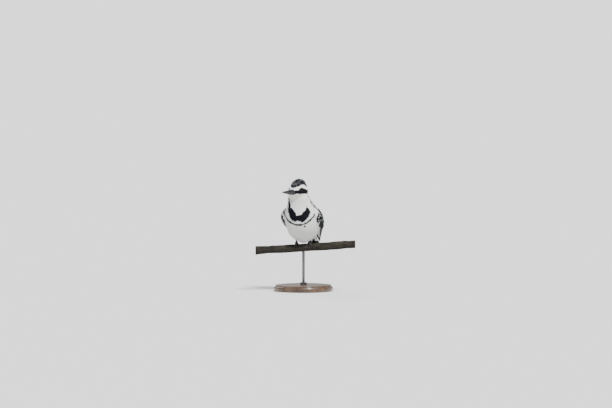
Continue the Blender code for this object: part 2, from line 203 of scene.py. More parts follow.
def set_values(mesh: Mesh, name: str, values: Array) -> None:
    """Stores one value for each vertex, which a material reads."""
    layer = mesh.attributes.new(name, "FLOAT", "POINT")
    layer.data.foreach_set("value", values.astype(np.float32))


def set_colours(mesh: Mesh, colours: Array) -> None:
    """Stores one colour for each vertex, which the coat's material reads."""
    layer = mesh.attributes.new(COAT, "FLOAT_COLOR", "POINT")
    opaque = np.column_stack([colours, np.ones(len(colours))])
    layer.data.foreach_set("color", opaque.astype(np.float32).ravel())


def set_map(mesh: Mesh, name: str, places: Array) -> None:
    """Stores a UV map, from one place for each vertex.

    Args:
        mesh: Mesh that gets the map.
        name: Name of the map.
        places: Place of each vertex on the map.
    """
    corners = np.empty(len(mesh.loops), np.int32)
    mesh.loops.foreach_get("vertex_index", corners)
    layer = mesh.uv_layers.new(name=name)
    layer.data.foreach_set("uv", places[corners].astype(np.float32).ravel())


def evaluated(obj: Object) -> Object:
    """Replaces an object's mesh with its evaluated one and drops its modifiers."""
    bpy.context.view_layer.update()
    shape = obj.evaluated_get(bpy.context.evaluated_depsgraph_get())
    mesh = bpy.data.meshes.new_from_object(shape)
    obj.modifiers.clear()
    obj.data = mesh
    return obj


def reshaped(mesh: Mesh, change: Callable[[bmesh.types.BMesh], object]) -> None:
    """Changes a mesh by a function of its editable form."""
    shape = bmesh.new()
    shape.from_mesh(mesh)
    change(shape)
    shape.to_mesh(mesh)
    shape.free()


def merged_copy(name: str, nodes: tuple[str, ...], grow: float = 0.0) -> Object:
    """A new object from merged copies of CAD nodes.

    Args:
        name: Name of the object.
        nodes: Names of the nodes.
        grow: How far to move the surface outwards, in millimetres.

    Returns:
        The object, linked to the scene.
    """

    def swell(shape: bmesh.types.BMesh) -> None:
        """Merges the shape's doubles and moves its surface outwards."""
        bmesh.ops.remove_doubles(shape, verts=shape.verts, dist=0.01 * MM)
        shape.normal_update()
        for vert, normal in [(v, v.normal.copy()) for v in shape.verts]:
            vert.co += normal * grow * MM

    whole = bmesh.new()
    for node in nodes:
        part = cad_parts[node].data.copy()
        reshaped(part, swell)
        whole.from_mesh(part)
        bpy.data.meshes.remove(part)
    mesh = bpy.data.meshes.new(name)
    whole.to_mesh(mesh)
    whole.free()
    mesh.shade_smooth()
    return linked(name, mesh)


def without_crumbs(mesh: Mesh, least: float = 0.02) -> None:
    """Takes out loose bits of a mesh.

    Args:
        mesh: Mesh to clean.
        least: Share of its points that a bit must hold to stay.
    """
    ends = np.empty(2 * len(mesh.edges), np.int32)
    mesh.edges.foreach_get("vertices", ends)
    first, second = ends.reshape(-1, 2).T
    label, before = np.arange(len(mesh.vertices)), None
    while before is None or (label != before).any():
        before = label.copy()
        lower = np.minimum(label[first], label[second])
        np.minimum.at(label, first, lower)
        np.minimum.at(label, second, lower)
        label = label[label]
    small = np.bincount(label, minlength=len(label))[label] < least * len(label)

    def clear(shape: bmesh.types.BMesh) -> None:
        """Deletes the small bits."""
        shape.verts.ensure_lookup_table()
        bmesh.ops.delete(shape, geom=[shape.verts[i] for i in np.flatnonzero(small)])

    if small.any():
        reshaped(mesh, clear)


def remeshed(obj: Object, voxel: float, smoothing: int) -> Object:
    """One closed skin over all the solids in an object.

    Args:
        obj: Object whose mesh is replaced.
        voxel: Size of the new faces in millimetres.
        smoothing: How often the result is smoothed.

    Returns:
        The same object.
    """
    remesh = obj.modifiers.new("remesh", "REMESH")
    remesh.mode = "VOXEL"
    remesh.voxel_size = voxel * MM
    remesh.adaptivity = 0.0
    obj.modifiers.new("smooth", "SMOOTH").iterations = smoothing
    evaluated(obj)
    without_crumbs(obj.data)
    obj.data.shade_smooth()
    return obj


def outwards(obj: Object) -> Object:
    """Turns a closed mesh's faces outwards."""
    reshaped(obj.data, lambda shape: bmesh.ops.recalc_face_normals(shape, faces=shape.faces))
    return obj


class Surface:
    """A mesh that can be asked for its nearest point."""

    def __init__(self, obj: Object) -> None:
        """Reads the object's mesh."""
        self.points = points_of(obj.data)
        self.normals = normals_of(obj.data)
        self.triangles = triangles_of(obj.data)
        self.tree = BVHTree.FromPolygons(self.points.tolist(), self.triangles.tolist())

    def nearest(self, places: Array) -> tuple[Array, Array, Array]:
        """Nearest points of the surface.

        Args:
            places: Where to look from.

        Returns:
            The points, their smooth normals and their distances.
        """
        hits = [self.tree.find_nearest(place) for place in places.tolist()]
        points = np.array([hit[0] for hit in hits])
        corners = self.triangles[[hit[2] for hit in hits]]
        away = np.linalg.norm(self.points[corners] - points[:, None], axis=2) + 1e-3
        normals = unit(np.sum(self.normals[corners] / away[..., None] ** 1.5, axis=1))
        return points, normals, np.array([hit[3] for hit in hits])

    def thickness(self, places: Array, normals: Array, most: float) -> Array:
        """How deep the solid is below places on its surface.

        Args:
            places: The places.
            normals: The surface's normals there.
            most: Greatest depth that is looked for.

        Returns:
            The depths.
        """
        depths = np.full(len(places), most)
        for i, (place, normal) in enumerate(zip(places - normals * 0.05, normals)):
            hit = self.tree.ray_cast(Vector(place), Vector(-normal), most)
            if hit[0] is not None:
                depths[i] = hit[3] + 0.05
        return depths


def show(obj: Object, slot: str, material: Material, *stands_for: str) -> None:
    """Dresses a finished piece and ties it to the frame.

    Args:
        obj: The finished piece.
        slot: Name of the record's material slot; not used.
        material: Its finish.
        *stands_for: CAD nodes that the piece replaces.
    """
    if not obj.data.materials:
        obj.data.materials.append(material)
    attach(obj, BODY)
    if stands_for:
        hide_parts(*stands_for)
    log.info("%s: %d triangles", obj.name, len(triangles_of(obj.data)))


# --- The bird's axes ---


@dataclass(frozen=True)
class Axes:
    """Axes of one part of the bird, in the row frame."""

    origin: Array
    basis: Array  # its columns are the axes

    def inside(self, points: Array) -> Array:
        """Points of the row frame, in these axes."""
        return (points - self.origin) @ self.basis

    def outside(self, points: Array) -> Array:
        """Points in these axes, in the row frame."""
        return np.asarray(points) @ self.basis.T + self.origin

    def turned(self, vectors: Array) -> Array:
        """Directions in these axes, in the row frame."""
        return np.asarray(vectors) @ self.basis.T


def turn_of(*degrees: float) -> Array:
    """A rotation about x, then y, then z."""
    return np.array(Euler([radians(a) for a in degrees]).to_matrix())


def middle_of(node: str) -> Array:
    """The middle of a CAD node's box in millimetres."""
    low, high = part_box(node)
    return np.array((low + high) / 2) / MM


@dataclass(frozen=True)
class Pose:
    """How the bird sits, worked out from the frame and the angles it was modelled at."""

    body_yaw: float = -15.0
    head_yaw: float = -25.0
    head_pitch: float = -3.0
    tail_root: Triple = (0.0, 40.0, 32.0)
    tail_droop: float = -35.0
    eye_place: Triple = (0.0, -7.5, 2.0)  # between the eyes, in the head's axes
    perch_radius: float = 8.6
    perch_tilt: float = 3.5
    perch_sway: float = 1.6
    rod_into_perch: float = 5.0

    def perch_top(self) -> float:
        """Height of the top of the perch over the rod."""
        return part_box("stand_rod")[1].z / MM + 2.0 * self.perch_radius - self.rod_into_perch

    def bird(self) -> Axes:
        """Axes of the body, on top of the perch."""
        return Axes(np.array([0.0, 0.0, self.perch_top()]), turn_of(0.0, 0.0, self.body_yaw))

    def head(self) -> Axes:
        """Axes of the head, from where the eyes are."""
        basis = turn_of(self.head_pitch, 0.0, self.head_yaw)
        between = (middle_of("eye_left") + middle_of("eye_right")) / 2
        return Axes(between - basis @ np.array(self.eye_place), basis)

    def tail(self) -> Axes:
        """Axes of the tail, y along it."""
        bird = self.bird()
        return Axes(bird.outside(self.tail_root), bird.basis @ turn_of(self.tail_droop, 0.0, 0.0))


# --- Markings ---


class Tone(Enum):
    """How the colour runs over one feather."""

    PLAIN = 0
    STREAKED = 1  # black with thin pale edges, as on the crown
    SCALLOPED = 2  # black with a white fringe, as on the back
    TIPPED = 3  # black with a broad white tip, as on the wing coverts


@dataclass(frozen=True)
class Palette:
    """Colours of the plumage, as linear light."""

    white: Triple = (0.88, 0.88, 0.86)
    # cream: a warm wash; on the throat it is painted bounce light, elsewhere a random warm tone
    cream: Triple = (0.86, 0.83, 0.72)
    # down: the grey of feather roots; laid over the roots it is partly real grey down and partly painted
    # shade under the overlapping feathers
    down: Triple = (0.66, 0.67, 0.67)
    black: Triple = (0.0055, 0.006, 0.009)
    sooty: Triple = (0.014, 0.014, 0.016)
    grey: Triple = (0.10, 0.11, 0.13)

    def of(self, name: str) -> Array:
        """One colour as an array."""
        return np.array(getattr(self, name))


@dataclass
class Markings:
    """The pied pattern, as colours by place, the same for skin and feathers."""

    pose: Pose
    palette: Palette = Palette()
    cap_edge: Knots = (
        (-24.0, 3.0), (-16.0, 6.8), (-9.0, 9.8), (-3.0, 12.4), (8.0, 13.0), (18.0, 10.5), (30.0, 4.0),
    )
    mask_top: Knots = (
        (-22.0, 0.0), (-15.0, 1.8), (-11.5, 5.2), (-7.5, 7.0),
        (-2.0, 6.4), (6.0, 4.6), (14.0, 2.4), (30.0, 3.0),
    )
    back_left: Knots = (  # height, and degrees from the front where the dark back starts
        (20.0, 112.0), (60.0, 98.0), (69.0, 72.0), (77.0, 54.0), (88.0, 58.0), (97.0, 76.0), (110.0, 70.0),
    )
    back_right: Knots = (
        (20.0, 112.0), (58.0, 92.0), (72.0, 54.0), (88.0, 50.0), (97.0, 66.0), (110.0, 84.0),
    )
    low_band: Pair = (41.0, 1.9)  # height at the front and half its width
    high_band: Pair = (55.0, 6.1)
    spots: tuple[tuple[float, ...], ...] = (  # angle, height, squeeze of each, inner and outer radius
        (16.5, 50.6, 0.66, 1.0, 1.2, 2.6),
        (20.0, 38.0, 0.6, 0.7, 0.8, 2.4),
        (-58.0, 21.0, 0.55, 0.45, 1.0, 2.4),
    )
    neck: Pair = (70.0, 106.0)  # heights between which the neck leans to the bird's right and forwards
    neck_shift: float = -10.0
    mask_bottom: float = -6.8
    nape_start: float = 19.0

    def __post_init__(self) -> None:
        """Makes the axes and the noises that the pattern reads."""
        self.bird = self.pose.bird()
        self.head = self.pose.head()
        self.tail = self.pose.tail()
        self.ripple = Wobble(5.0, 11)
        self.fray = Wobble(1.8, 12)
        self.blotch = Wobble(6.5, 13)

    def around(self, points: Array) -> tuple[Array, Array, Array]:
        """Angle from the bird's front in degrees, positive to its left, with height and place.

        Args:
            points: Points in the row frame.

        Returns:
            The angles, the heights over the perch, and the points in the bird's axes.
        """
        local = self.bird.inside(points)
        shift = np.interp(local[:, 2], self.neck, (0.0, self.neck_shift))
        angle = np.degrees(np.arctan2(local[:, 0] - shift, shift - local[:, 1]))
        return angle, local[:, 2], local

    def body(self, points: Array) -> Array:
        """How black the body is: two breast bands, spots, and the back.

        Args:
            points: Points in the row frame.

        Returns:
            Blackness from 0 to 1.
        """
        angle, height, local = self.around(points)
        rough = 1.3 * self.ripple(points) + 0.9 * self.fray(points)
        tilt = angle - 2.0
        middle = self.low_band[0] + np.where(tilt > 0.0, 0.0088, 0.0055) * tilt**2
        half = self.low_band[1] + 0.9 * ease(15.0, 45.0, np.abs(angle))
        low = 1.0 - ease(half - 0.4, half + 0.5, np.abs(height - middle + 0.28 * rough))
        low = low * ease(-74.0, -66.0, angle) * (1.0 - ease(50.0, 58.0, angle))
        middle = self.high_band[0] + 0.0135 * angle**2
        half = self.high_band[1] + 4.8 * ease(3.0, 16.0, np.abs(angle))
        half = half - 2.2 * ease(24.0, 40.0, np.abs(angle))
        high = 1.0 - ease(half - 0.7, half + 0.7, np.abs(height - middle + 0.9 * rough))
        high = high * ease(-62.0, -54.0, angle + 4 * rough) * (1.0 - ease(35.0, 41.0, angle + 3 * rough))
        spots = [
            1.0 - ease(inner, outer, np.hypot((angle - at) * narrow, (height - up) * flat))
            for at, up, narrow, flat, inner, outer in self.spots
        ]
        side = ease(0.0, 16.0, np.abs(angle) - self.back_edge(height, angle) + 5.0 * rough)
        vent = 1.0 - ease(0.0, 5.0, 24.0 + 0.30 * local[:, 1] + 4.0 * rough - height)
        return np.maximum.reduce([low, high, *spots, side * vent])

    def back_edge(self, height: Array, angle: Array) -> Array:
        """Angle from the front at which the dark back starts."""
        return np.where(angle > 0.0, through(self.back_left, height), through(self.back_right, height))

    def face(self, points: Array) -> Array:
        """How black the head is: cap, mask and nape.

        Args:
            points: Points in the row frame.

        Returns:
            Blackness from 0 to 1.
        """
        local = self.head.inside(points)
        rough = 0.5 * self.ripple(points) + 0.35 * self.fray(points)
        back, up = local[:, 1], local[:, 2] + rough
        cap = ease(-0.6, 0.9, up - through(self.cap_edge, back))
        mask = ease(-0.5, 0.8, through(self.mask_top, back) - up) * ease(-0.6, 0.6, up - self.mask_bottom)
        fade = 1.0 - 0.25 * ease(10.0, 18.0, back)
        chin = ease(2.0, 4.5, np.abs(local[:, 0]) + 0.25 * (back + 22.0))
        nape = ease(self.nape_start, self.nape_start + 6.0, back + 3.0 * rough)
        nape = nape * ease(-9.0, -4.0, up)
        return np.maximum.reduce([cap, mask * fade * chin, nape])

    def head_share(self, points: Array) -> Array:
        """1 on the head and 0 on the body, with a soft change at the neck."""
        local = self.head.inside(points)
        return ease(-15.5, -11.0, local[:, 2] - 0.28 * (local[:, 1] - 2.0))

    def blackness(self, points: Array) -> Array:
        """How black the coat is at each point, from 0 to 1."""
        share = self.head_share(points)
        return self.face(points) * share + self.body(points) * (1.0 - share)

    def colour(self, points: Array, luck: Array | None = None) -> Array:
        """The plain colour of the coat.

        Args:
            points: Where to read it.
            luck: A number from 0 to 1 for each point's feather, which makes it choose a colour.

        Returns:
            The colours.
        """
        black = self.blackness(points)
        if luck is not None:
            black = ease(0.32, 0.68, black + 0.5 * (luck - 0.5))
        local = self.head.inside(points)
        # The cream wash on the throat is painted yellowish bounce light; the blotch wash beside it is a
        # random warm tone.
        throat_bounce_light = ease(-24.0, -12.0, local[:, 2]) * ease(-6.0, -10.0, local[:, 2])
        warm_tone_and_bounce = 0.35 * throat_bounce_light + 0.12 * ease(-0.2, 1.0, self.blotch(points))
        pale = blend(self.palette.of("white"), self.palette.of("cream"), np.clip(warm_tone_and_bounce, 0.0, 1.0))
        return blend(pale, self.palette.of("black"), black)

    def wing(self, points: Array) -> Array:
        """The plain colour of the small wing coverts.

        Args:
            points: Points in the row frame.

        Returns:
            The colours.
        """
        local = self.bird.inside(points)
        out, back, up = np.abs(local[:, 0]), local[:, 1], local[:, 2]
        rough = 2.0 * self.ripple(points) + 1.2 * self.fray(points)
        edge = 34.0 + 0.20 * (up - 62.0) + 0.10 * (back + 15.0)
        edge = edge + 8.5 * (local[:, 0] < 0.0) * ease(46.0, 60.0, up)
        white = ease(-1.0, 1.5, edge - out + rough) * ease(-1.0, 1.5, -7.0 - back + rough)
        return blend(self.palette.of("black"), self.palette.of("white"), white)

    def tone(self, points: Array) -> Array:
        """Which pattern feathers have by where they grow.

        Args:
            points: Places of the roots.

        Returns:
            Value of the Tone of each.
        """
        local = self.head.inside(points)
        angle, height, _ = self.around(points)
        on_head = self.head_share(points) > 0.5
        crown = on_head & (local[:, 2] > through(self.cap_edge, local[:, 1]) - 1.0)
        crown |= on_head & (local[:, 1] > self.nape_start)
        dark_side = np.abs(angle) > self.back_edge(height, angle) - 2.0
        tones = np.full(len(points), Tone.PLAIN.value)
        tones[crown] = Tone.STREAKED.value
        tones[~on_head & dark_side & (height > 15.0)] = Tone.SCALLOPED.value
        return tones

    def patterned(self, colours: Array, tones: Array, side: Array, along: Array, luck: Array) -> Array:
        """Colours with the pattern that runs over each feather.

        Args:
            colours: Plain colour at each vertex.
            tones: Kind of pattern of the vertex's feather.
            side: Place across the feather, from -1 to 1.
            along: Place along the feather, from 0 to 1.
            luck: One random number from 0 to 1 for the feather.

        Returns:
            The colours with their fringes, tips and streaks.
        """
        white, grey = self.palette.of("white"), self.palette.of("grey")
        dark = 1.0 - ease(0.05, 0.3, colours.mean(axis=1))
        edge = ease(0.55, 0.85, np.abs(side)) * ease(0.25, 0.5, along)
        streak = (tones == Tone.STREAKED.value) * edge * ease(0.55, 0.85, luck) * 0.42
        colours = blend(colours, white * 0.8, streak * dark)
        wide = 0.10 + 0.16 * ease(0.70, 0.95, luck)
        fringe = ease(0.98 - wide, 1.02 - wide, along + 0.06 * np.abs(side))
        fringe = np.maximum(fringe, ease(0.78, 0.92, np.abs(side)) * ease(0.55, 0.75, along))
        scallop = (tones == Tone.SCALLOPED.value) * fringe * ease(0.12, 0.28, luck)
        colours = blend(colours, white * 0.95, scallop)
        size = 0.10 + 0.22 * ease(0.35, 1.0, luck)
        tip = ease(0.97 - size, 1.02 - size, along - 0.05 * (1.0 - np.abs(side)))
        colours = blend(colours, white * 0.97, (tones == Tone.TIPPED.value) * tip * ease(0.42, 0.55, luck))
        return blend(colours, grey, 0.06 * dark * ease(0.4, 0.9, luck) * (along > 0.4))


# --- Finishes ---


def rgba(colour: float | tuple) -> tuple:
    """A colour with its alpha, from a colour or from one number for a grey."""
    return (*(colour if isinstance(colour, tuple) else (colour,) * 3), 1.0)


class Graph:
    """A node tree that is quick to write."""

    def __init__(self, tree: NodeTree) -> None:
        """Takes over the tree."""
        self.tree = tree

    def feed(self, node: Node, inputs: dict) -> None:
        """Sets a node's inputs by name or number, or links the sockets that are given."""
        for name, value in inputs.items():
            if isinstance(value, NodeSocket):
                self.tree.links.new(value, node.inputs[name])
            else:
                node.inputs[name].default_value = value

    def add(self, kind: str, inputs: dict | None = None, **settings: object) -> Node:
        """A new node.

        Args:
            kind: Type of the node, without its ShaderNode prefix if it has that one.
            inputs: Values, or sockets to link, by input name or number.
            **settings: The node's own properties.

        Returns:
            The node.
        """
        node = self.tree.nodes.new(kind if "Node" in kind else "ShaderNode" + kind)
        for name, value in settings.items():
            setattr(node, name, value)
        self.feed(node, inputs or {})
        return node

    def maths(self, operation: str, *values: object) -> NodeSocket:
        """The result of a Math node."""
        return self.add("Math", dict(enumerate(values)), operation=operation).outputs[0]

    def times(self, first: object, second: object) -> NodeSocket:
        """A product."""
        return self.maths("MULTIPLY", first, second)

    def mixed(self, share: object, first: object, second: object, how: str = "MIX") -> NodeSocket:
        """The result of mixing two colours."""
        colours = {i: c if isinstance(c, NodeSocket) else rgba(c) for i, c in ((6, first), (7, second))}
        return self.add("Mix", {0: share, **colours}, data_type="RGBA", blend_type=how).outputs[2]

    def ramp(self, value: NodeSocket, *stops: tuple[float, float | tuple]) -> NodeSocket:
        """Colours along a value.

        Args:
            value: Socket that says where on the ramp.
            *stops: Position and colour, or grey, of each stop.

        Returns:
            The colour socket.
        """
        node = self.add("ValToRGB", {0: value})
        elements = node.color_ramp.elements
        while len(elements) < len(stops):
            elements.new(0.5)
        for element, (place, colour) in zip(elements, stops):
            element.position = place
            element.color = rgba(colour)
        return node.outputs[0]

    def noise(self, place: object, scale: float, detail: float = 4.0, rough: float = 0.5) -> NodeSocket:
        """The value of a Noise Texture."""
        inputs = {"Vector": place, "Scale": scale, "Detail": detail, "Roughness": rough}
        return self.add("TexNoise", inputs).outputs[0]

    def cells(self, place: object, scale: float) -> NodeSocket:
        """Distances from the middles of a Voronoi Texture's cells."""
        return self.add("TexVoronoi", {"Vector": place, "Scale": scale}).outputs["Distance"]

    def place(self) -> NodeSocket:
        """Object coordinates."""
        return self.add("TexCoord").outputs["Object"]

    def stretched(self, place: NodeSocket, scale: Triple) -> NodeSocket:
        """Coordinates scaled by their own factor each way."""
        return self.add("Mapping", {"Vector": place, "Scale": scale}).outputs[0]

    def on_map(self, name: str) -> tuple[NodeSocket, NodeSocket]:
        """Both coordinates of a UV map."""
        place = self.add("SeparateXYZ", {0: self.add("UVMap", uv_map=name).outputs[0]})
        return place.outputs[0], place.outputs[1]

    def stored(self, name: str, kind: str = "Fac") -> NodeSocket:
        """The values or colours of an attribute."""
        return self.add("Attribute", attribute_name=name).outputs[kind]


class Paint(Graph):
    """The node tree of one material, with its shader."""

    def __init__(self, material: Material) -> None:
        """Takes over the material."""
        material.use_nodes = True
        super().__init__(material.node_tree)

    def wear(
        self, colour: NodeSocket, rough: object, gloss: float = 0.5, relief: tuple = (), **more: float
    ) -> None:
        """Joins a finish to the shader.

        Args:
            colour: Base colour.
            rough: Roughness, as a number or a socket.
            gloss: Specular level.
            relief: Height socket, strength and distance of the bump, and True where it is inverted.
            **more: Other inputs, with _ for a space.
        """
        inputs = {"Base Color": colour, "Roughness": rough, "Specular IOR Level": gloss}
        if relief:
            height, strength, distance, *inverted = relief
            heights = {"Height": height, "Strength": strength, "Distance": distance}
            inputs["Normal"] = self.add("Bump", heights, invert=bool(inverted)).outputs[0]
        inputs.update({name.replace("_", " "): value for name, value in more.items()})
        self.feed(self.tree.nodes["Principled BSDF"], inputs)


class Finish:
    """A finish that draws its own material."""

    name: str

    def paint(self, graph: Paint) -> None:
        """Draws the finish."""
        raise NotImplementedError

    def material(self) -> Material:
        """The finish as a material."""
        material = bpy.data.materials.new(self.name)
        self.paint(Paint(material))
        return material


def make_group(name: str, inputs: dict, outputs: dict) -> tuple[Graph, dict, Node]:
    """An empty shader node group.

    Args:
        name: Name of the group.
        inputs: Socket type of each input by name.
        outputs: Socket type of each output by name.

    Returns:
        The graph of the group, its input sockets by name, and its output node.
    """
    tree = bpy.data.node_groups.new(name, "ShaderNodeTree")
    for sockets, way in ((inputs, "INPUT"), (outputs, "OUTPUT")):
        for socket, kind in sockets.items():
            tree.interface.new_socket(socket, in_out=way, socket_type="NodeSocket" + kind)
    entry = tree.nodes.new("NodeGroupInput")
    return Graph(tree), {name: entry.outputs[name] for name in inputs}, tree.nodes.new("NodeGroupOutput")


def barb_group() -> NodeTree:
    """The fine slanted barbs of a vane, as a height and a painted shade in the grooves between them, from
    the feather's own map.
    """
    known = bpy.data.node_groups.get("Barbs")
    if known:
        return known
    inputs = dict.fromkeys(("Count", "Slant", "Depth"), "Float")
    graph, given, result = make_group("Barbs", inputs, {"Height": "Float", "Shade": "Color"})
    side, along = graph.on_map(FEATHER_MAP)
    off_centre = graph.maths("ABSOLUTE", graph.maths("SUBTRACT", side, 0.5))
    slanted = graph.maths("SUBTRACT", along, graph.times(off_centre, given["Slant"]))
    waver = graph.times(graph.noise(graph.place(), 900.0, 2.0), 0.0105)
    turns = graph.times(graph.maths("ADD", slanted, waver), given["Count"])
    wave = graph.maths("SINE", graph.times(turns, 2.0 * pi))
    high = graph.maths("MULTIPLY_ADD", wave, 0.5, 0.5)
    # Painted shade: darker where the wave is low, in the grooves between barbs.
    dark = graph.maths("SUBTRACT", 1.0, graph.times(graph.maths("SUBTRACT", 1.0, high), given["Depth"]))
    shade = graph.add("CombineColor", {0: dark, 1: dark, 2: dark}).outputs[0]
    graph.feed(result, {"Height": high, "Shade": shade})
    return graph.tree


@dataclass(frozen=True)
class FeatherFinish(Finish):
    """A matt vane whose colour comes from its marking, whose barbs catch the light, and whose grooves
    between barbs are darkened as painted shade.
    """

    name: str
    count: float  # barbs along one feather
    slant: float = 0.5
    # depth: how dark the painted shade between the barbs is
    depth: float = 0.16
    roughness: float = 0.75
    relief: float = 0.25
    gloss: float = 0.07
    crisp: float = 0.0  # how far blurred borders between black and white are sharpened

    def paint(self, graph: Paint) -> None:
        """Draws the finish."""
        colour = graph.stored(COAT, "Color")
        if self.crisp:
            pale = graph.ramp(colour, (0.16, 0.0), (0.46, 1.0))
            pied = graph.mixed(pale, (0.011, 0.012, 0.015), (0.68, 0.68, 0.665))
            colour = graph.mixed(self.crisp, colour, pied)
        sizes = {"Count": self.count, "Slant": self.slant, "Depth": self.depth}
        barbs = graph.add("Group", node_tree=barb_group())
        graph.feed(barbs, sizes)
        barb_shaded = graph.mixed(1.0, colour, barbs.outputs["Shade"], "MULTIPLY")
        graph.wear(barb_shaded, self.roughness, self.gloss, (barbs.outputs["Height"], self.relief, 0.00012))


@dataclass(frozen=True)
class SkinFinish(Finish):
    """The skin between the feathers, with the coat's colours and a downy grain."""

    name: str = "plumed_skin"
    darken: float = 0.80

    def paint(self, graph: Paint) -> None:
        """Draws the finish."""
        grain = graph.noise(graph.place(), 1400.0, 3.0)
        shade = graph.ramp(grain, (0.3, self.darken), (0.7, 0.95))
        colour = graph.mixed(1.0, graph.stored(COAT, "Color"), shade, "MULTIPLY")
        graph.wear(colour, 0.9, 0.1, (grain, 0.5, 0.0003))


# --- Skin ---


@dataclass
class Skin:
    """One skin for all of the flesh, sunk below the CAD surface by the depth of the coat."""

    markings: Markings
    voxel: float = 1.0
    grow: float = 0.3
    smoothing: int = 8
    settling: int = 10
    deepest_share: float = 0.42  # of the local thickness
    gape: Triple = (0.0, -15.0, -3.2)  # middle of the flesh behind the bill, in the head's axes
    gape_size: Triple = (8.3, 11.5, 8.7)
    body_depths: tuple[tuple[str, float], ...] = (
        ("head", 0.8), ("crest", 3.0), ("neck", 1.3), ("trunk", 1.6), ("tail_coverts", 1.5),
    )
    wing_depths: tuple[tuple[str, float], ...] = (("shoulder", 2.0), ("flight", 3.2))

    def __post_init__(self) -> None:
        """Lists the depth of every node that the skin stands for."""
        self.wings = {f"wing_{side}_{part}": depth for part, depth in self.wing_depths for side, _ in SIDES}
        self.depths = dict(self.body_depths) | self.wings

    def build(self) -> None:
        """Makes the skin."""
        skin = merged_copy("skin", (*self.depths, "eye_left", "eye_right"), self.grow)
        self.fill_gape(skin)
        remeshed(skin, self.voxel, self.smoothing)
        outer = Surface(skin)
        depth = self.sunk(outer)
        set_points(skin.data, outer.points - outer.normals * (depth + self.grow)[:, None])
        settle = skin.modifiers.new("settle", "SMOOTH")
        settle.iterations = self.settling
        evaluated(skin)
        skin.data.shade_smooth()
        self.surface = Surface(skin)
        winged = np.isin(self.regions(self.surface.points), list(self.wings))
        plain, dark = self.markings.colour(self.surface.points), self.markings.wing(self.surface.points)
        set_colours(skin.data, np.where(winged[:, None], dark, plain))
        show(skin, "plumage_white", SkinFinish().material(), *self.depths)

    def fill_gape(self, skin: Object) -> None:
        """Adds the flesh behind the bill to the skin's solids."""

        def add_ball(shape: bmesh.types.BMesh) -> None:
            """Adds a ball and stretches it into place."""
            for vert in bmesh.ops.create_icosphere(shape, subdivisions=3, radius=1.0)["verts"]:
                local = np.array(self.gape) + np.array(vert.co) * self.gape_size
                vert.co = Vector(self.markings.head.outside(local)) * MM

        reshaped(skin.data, add_ball)

    def regions(self, points: Array) -> Array:
        """Name of the CAD node nearest to each point."""
        away = []
        for node in self.depths:
            one = merged_copy("nearest", (node,))
            away.append(Surface(one).nearest(points)[2])
            bpy.data.objects.remove(one)
        return np.array(list(self.depths))[np.argmin(away, axis=0)]

    def sunk(self, outer: Surface) -> Array:
        """How far the skin lies below the CAD surface.

        Args:
            outer: The whole bird at its CAD size.

        Returns:
            Depth at each of its vertices, evened out.
        """
        by_region = np.array([self.depths[node] for node in self.regions(outer.points)])
        thick = outer.thickness(outer.points, outer.normals, 14.0)
        depth = np.minimum(by_region, self.deepest_share * thick)
        first = outer.triangles.T.ravel()
        second = np.roll(outer.triangles, -1, axis=1).T.ravel()
        count = np.bincount(np.concatenate([first, second]), minlength=len(depth))
        for _ in range(12):
            total = np.bincount(first, depth[second], len(depth))
            total += np.bincount(second, depth[first], len(depth))
            depth = 0.5 * depth + 0.5 * total / np.maximum(count, 1)
        return depth


# --- Feathers ---


@dataclass(frozen=True)
class Plume:
    """How the feathers of one region look."""

    spacing: float  # between roots
    length: float
    width: float
    rise: float  # height of the tip over the skin
    barbs: int = 12  # loose barbs on one feather
    reach: float = 0.30  # length of a barb, as a share of the feather's
    stations: int = 6
    profile: Knots = ((0.0, 0.35), (0.2, 0.75), (0.5, 1.0), (0.75, 0.92), (0.92, 0.55), (1.0, 0.12))
    ruffle: float = 7.0  # how far feathers turn off the common lie, in degrees
    spread: float = 0.12  # how much lengths differ
    thick: float = 0.07
    cup: float = 0.10
    cling: float = 1.0  # 1 where feathers follow the skin to their tips, 0 where they run straight on


@dataclass
class Vanes:
    """Feathers laid out as centrelines, ready to be given a mesh."""

    centre: Array  # feather, station, xyz
    normal: Array  # the same, the way each vane faces
    width: Array  # feather, station: half width
    home: Array  # feather, uv: place of its root on the unwrap
    tone: Array
    luck: Array
    thick: float = 0.16
    cup: float = 0.16  # how far the edges hang below the middle, as a share of the half width
    rachis: float = 0.0  # height of the shaft over the vane
    bends: Array | None = None  # feather, station, place across, xyz: what lays a broad vane on a curve
    turns: Array | None = None  # the same, what it adds to the normals

    def sides(self) -> tuple[Array, Array]:
        """Directions along and across each feather at each station."""
        along = unit(np.gradient(self.centre, axis=1))
        return along, unit(np.cross(along, self.normal))

    def across_at(self, values: Array | None, share: float) -> Array | float:
        """Bends or turns at one place across, from -1 to 1."""
        if values is None:
            return 0.0
        at = 0.5 * (share + 1.0) * (values.shape[2] - 1)
        low = min(int(at), values.shape[2] - 2)
        return values[:, :, low] * (low + 1 - at) + values[:, :, low + 1] * (at - low)


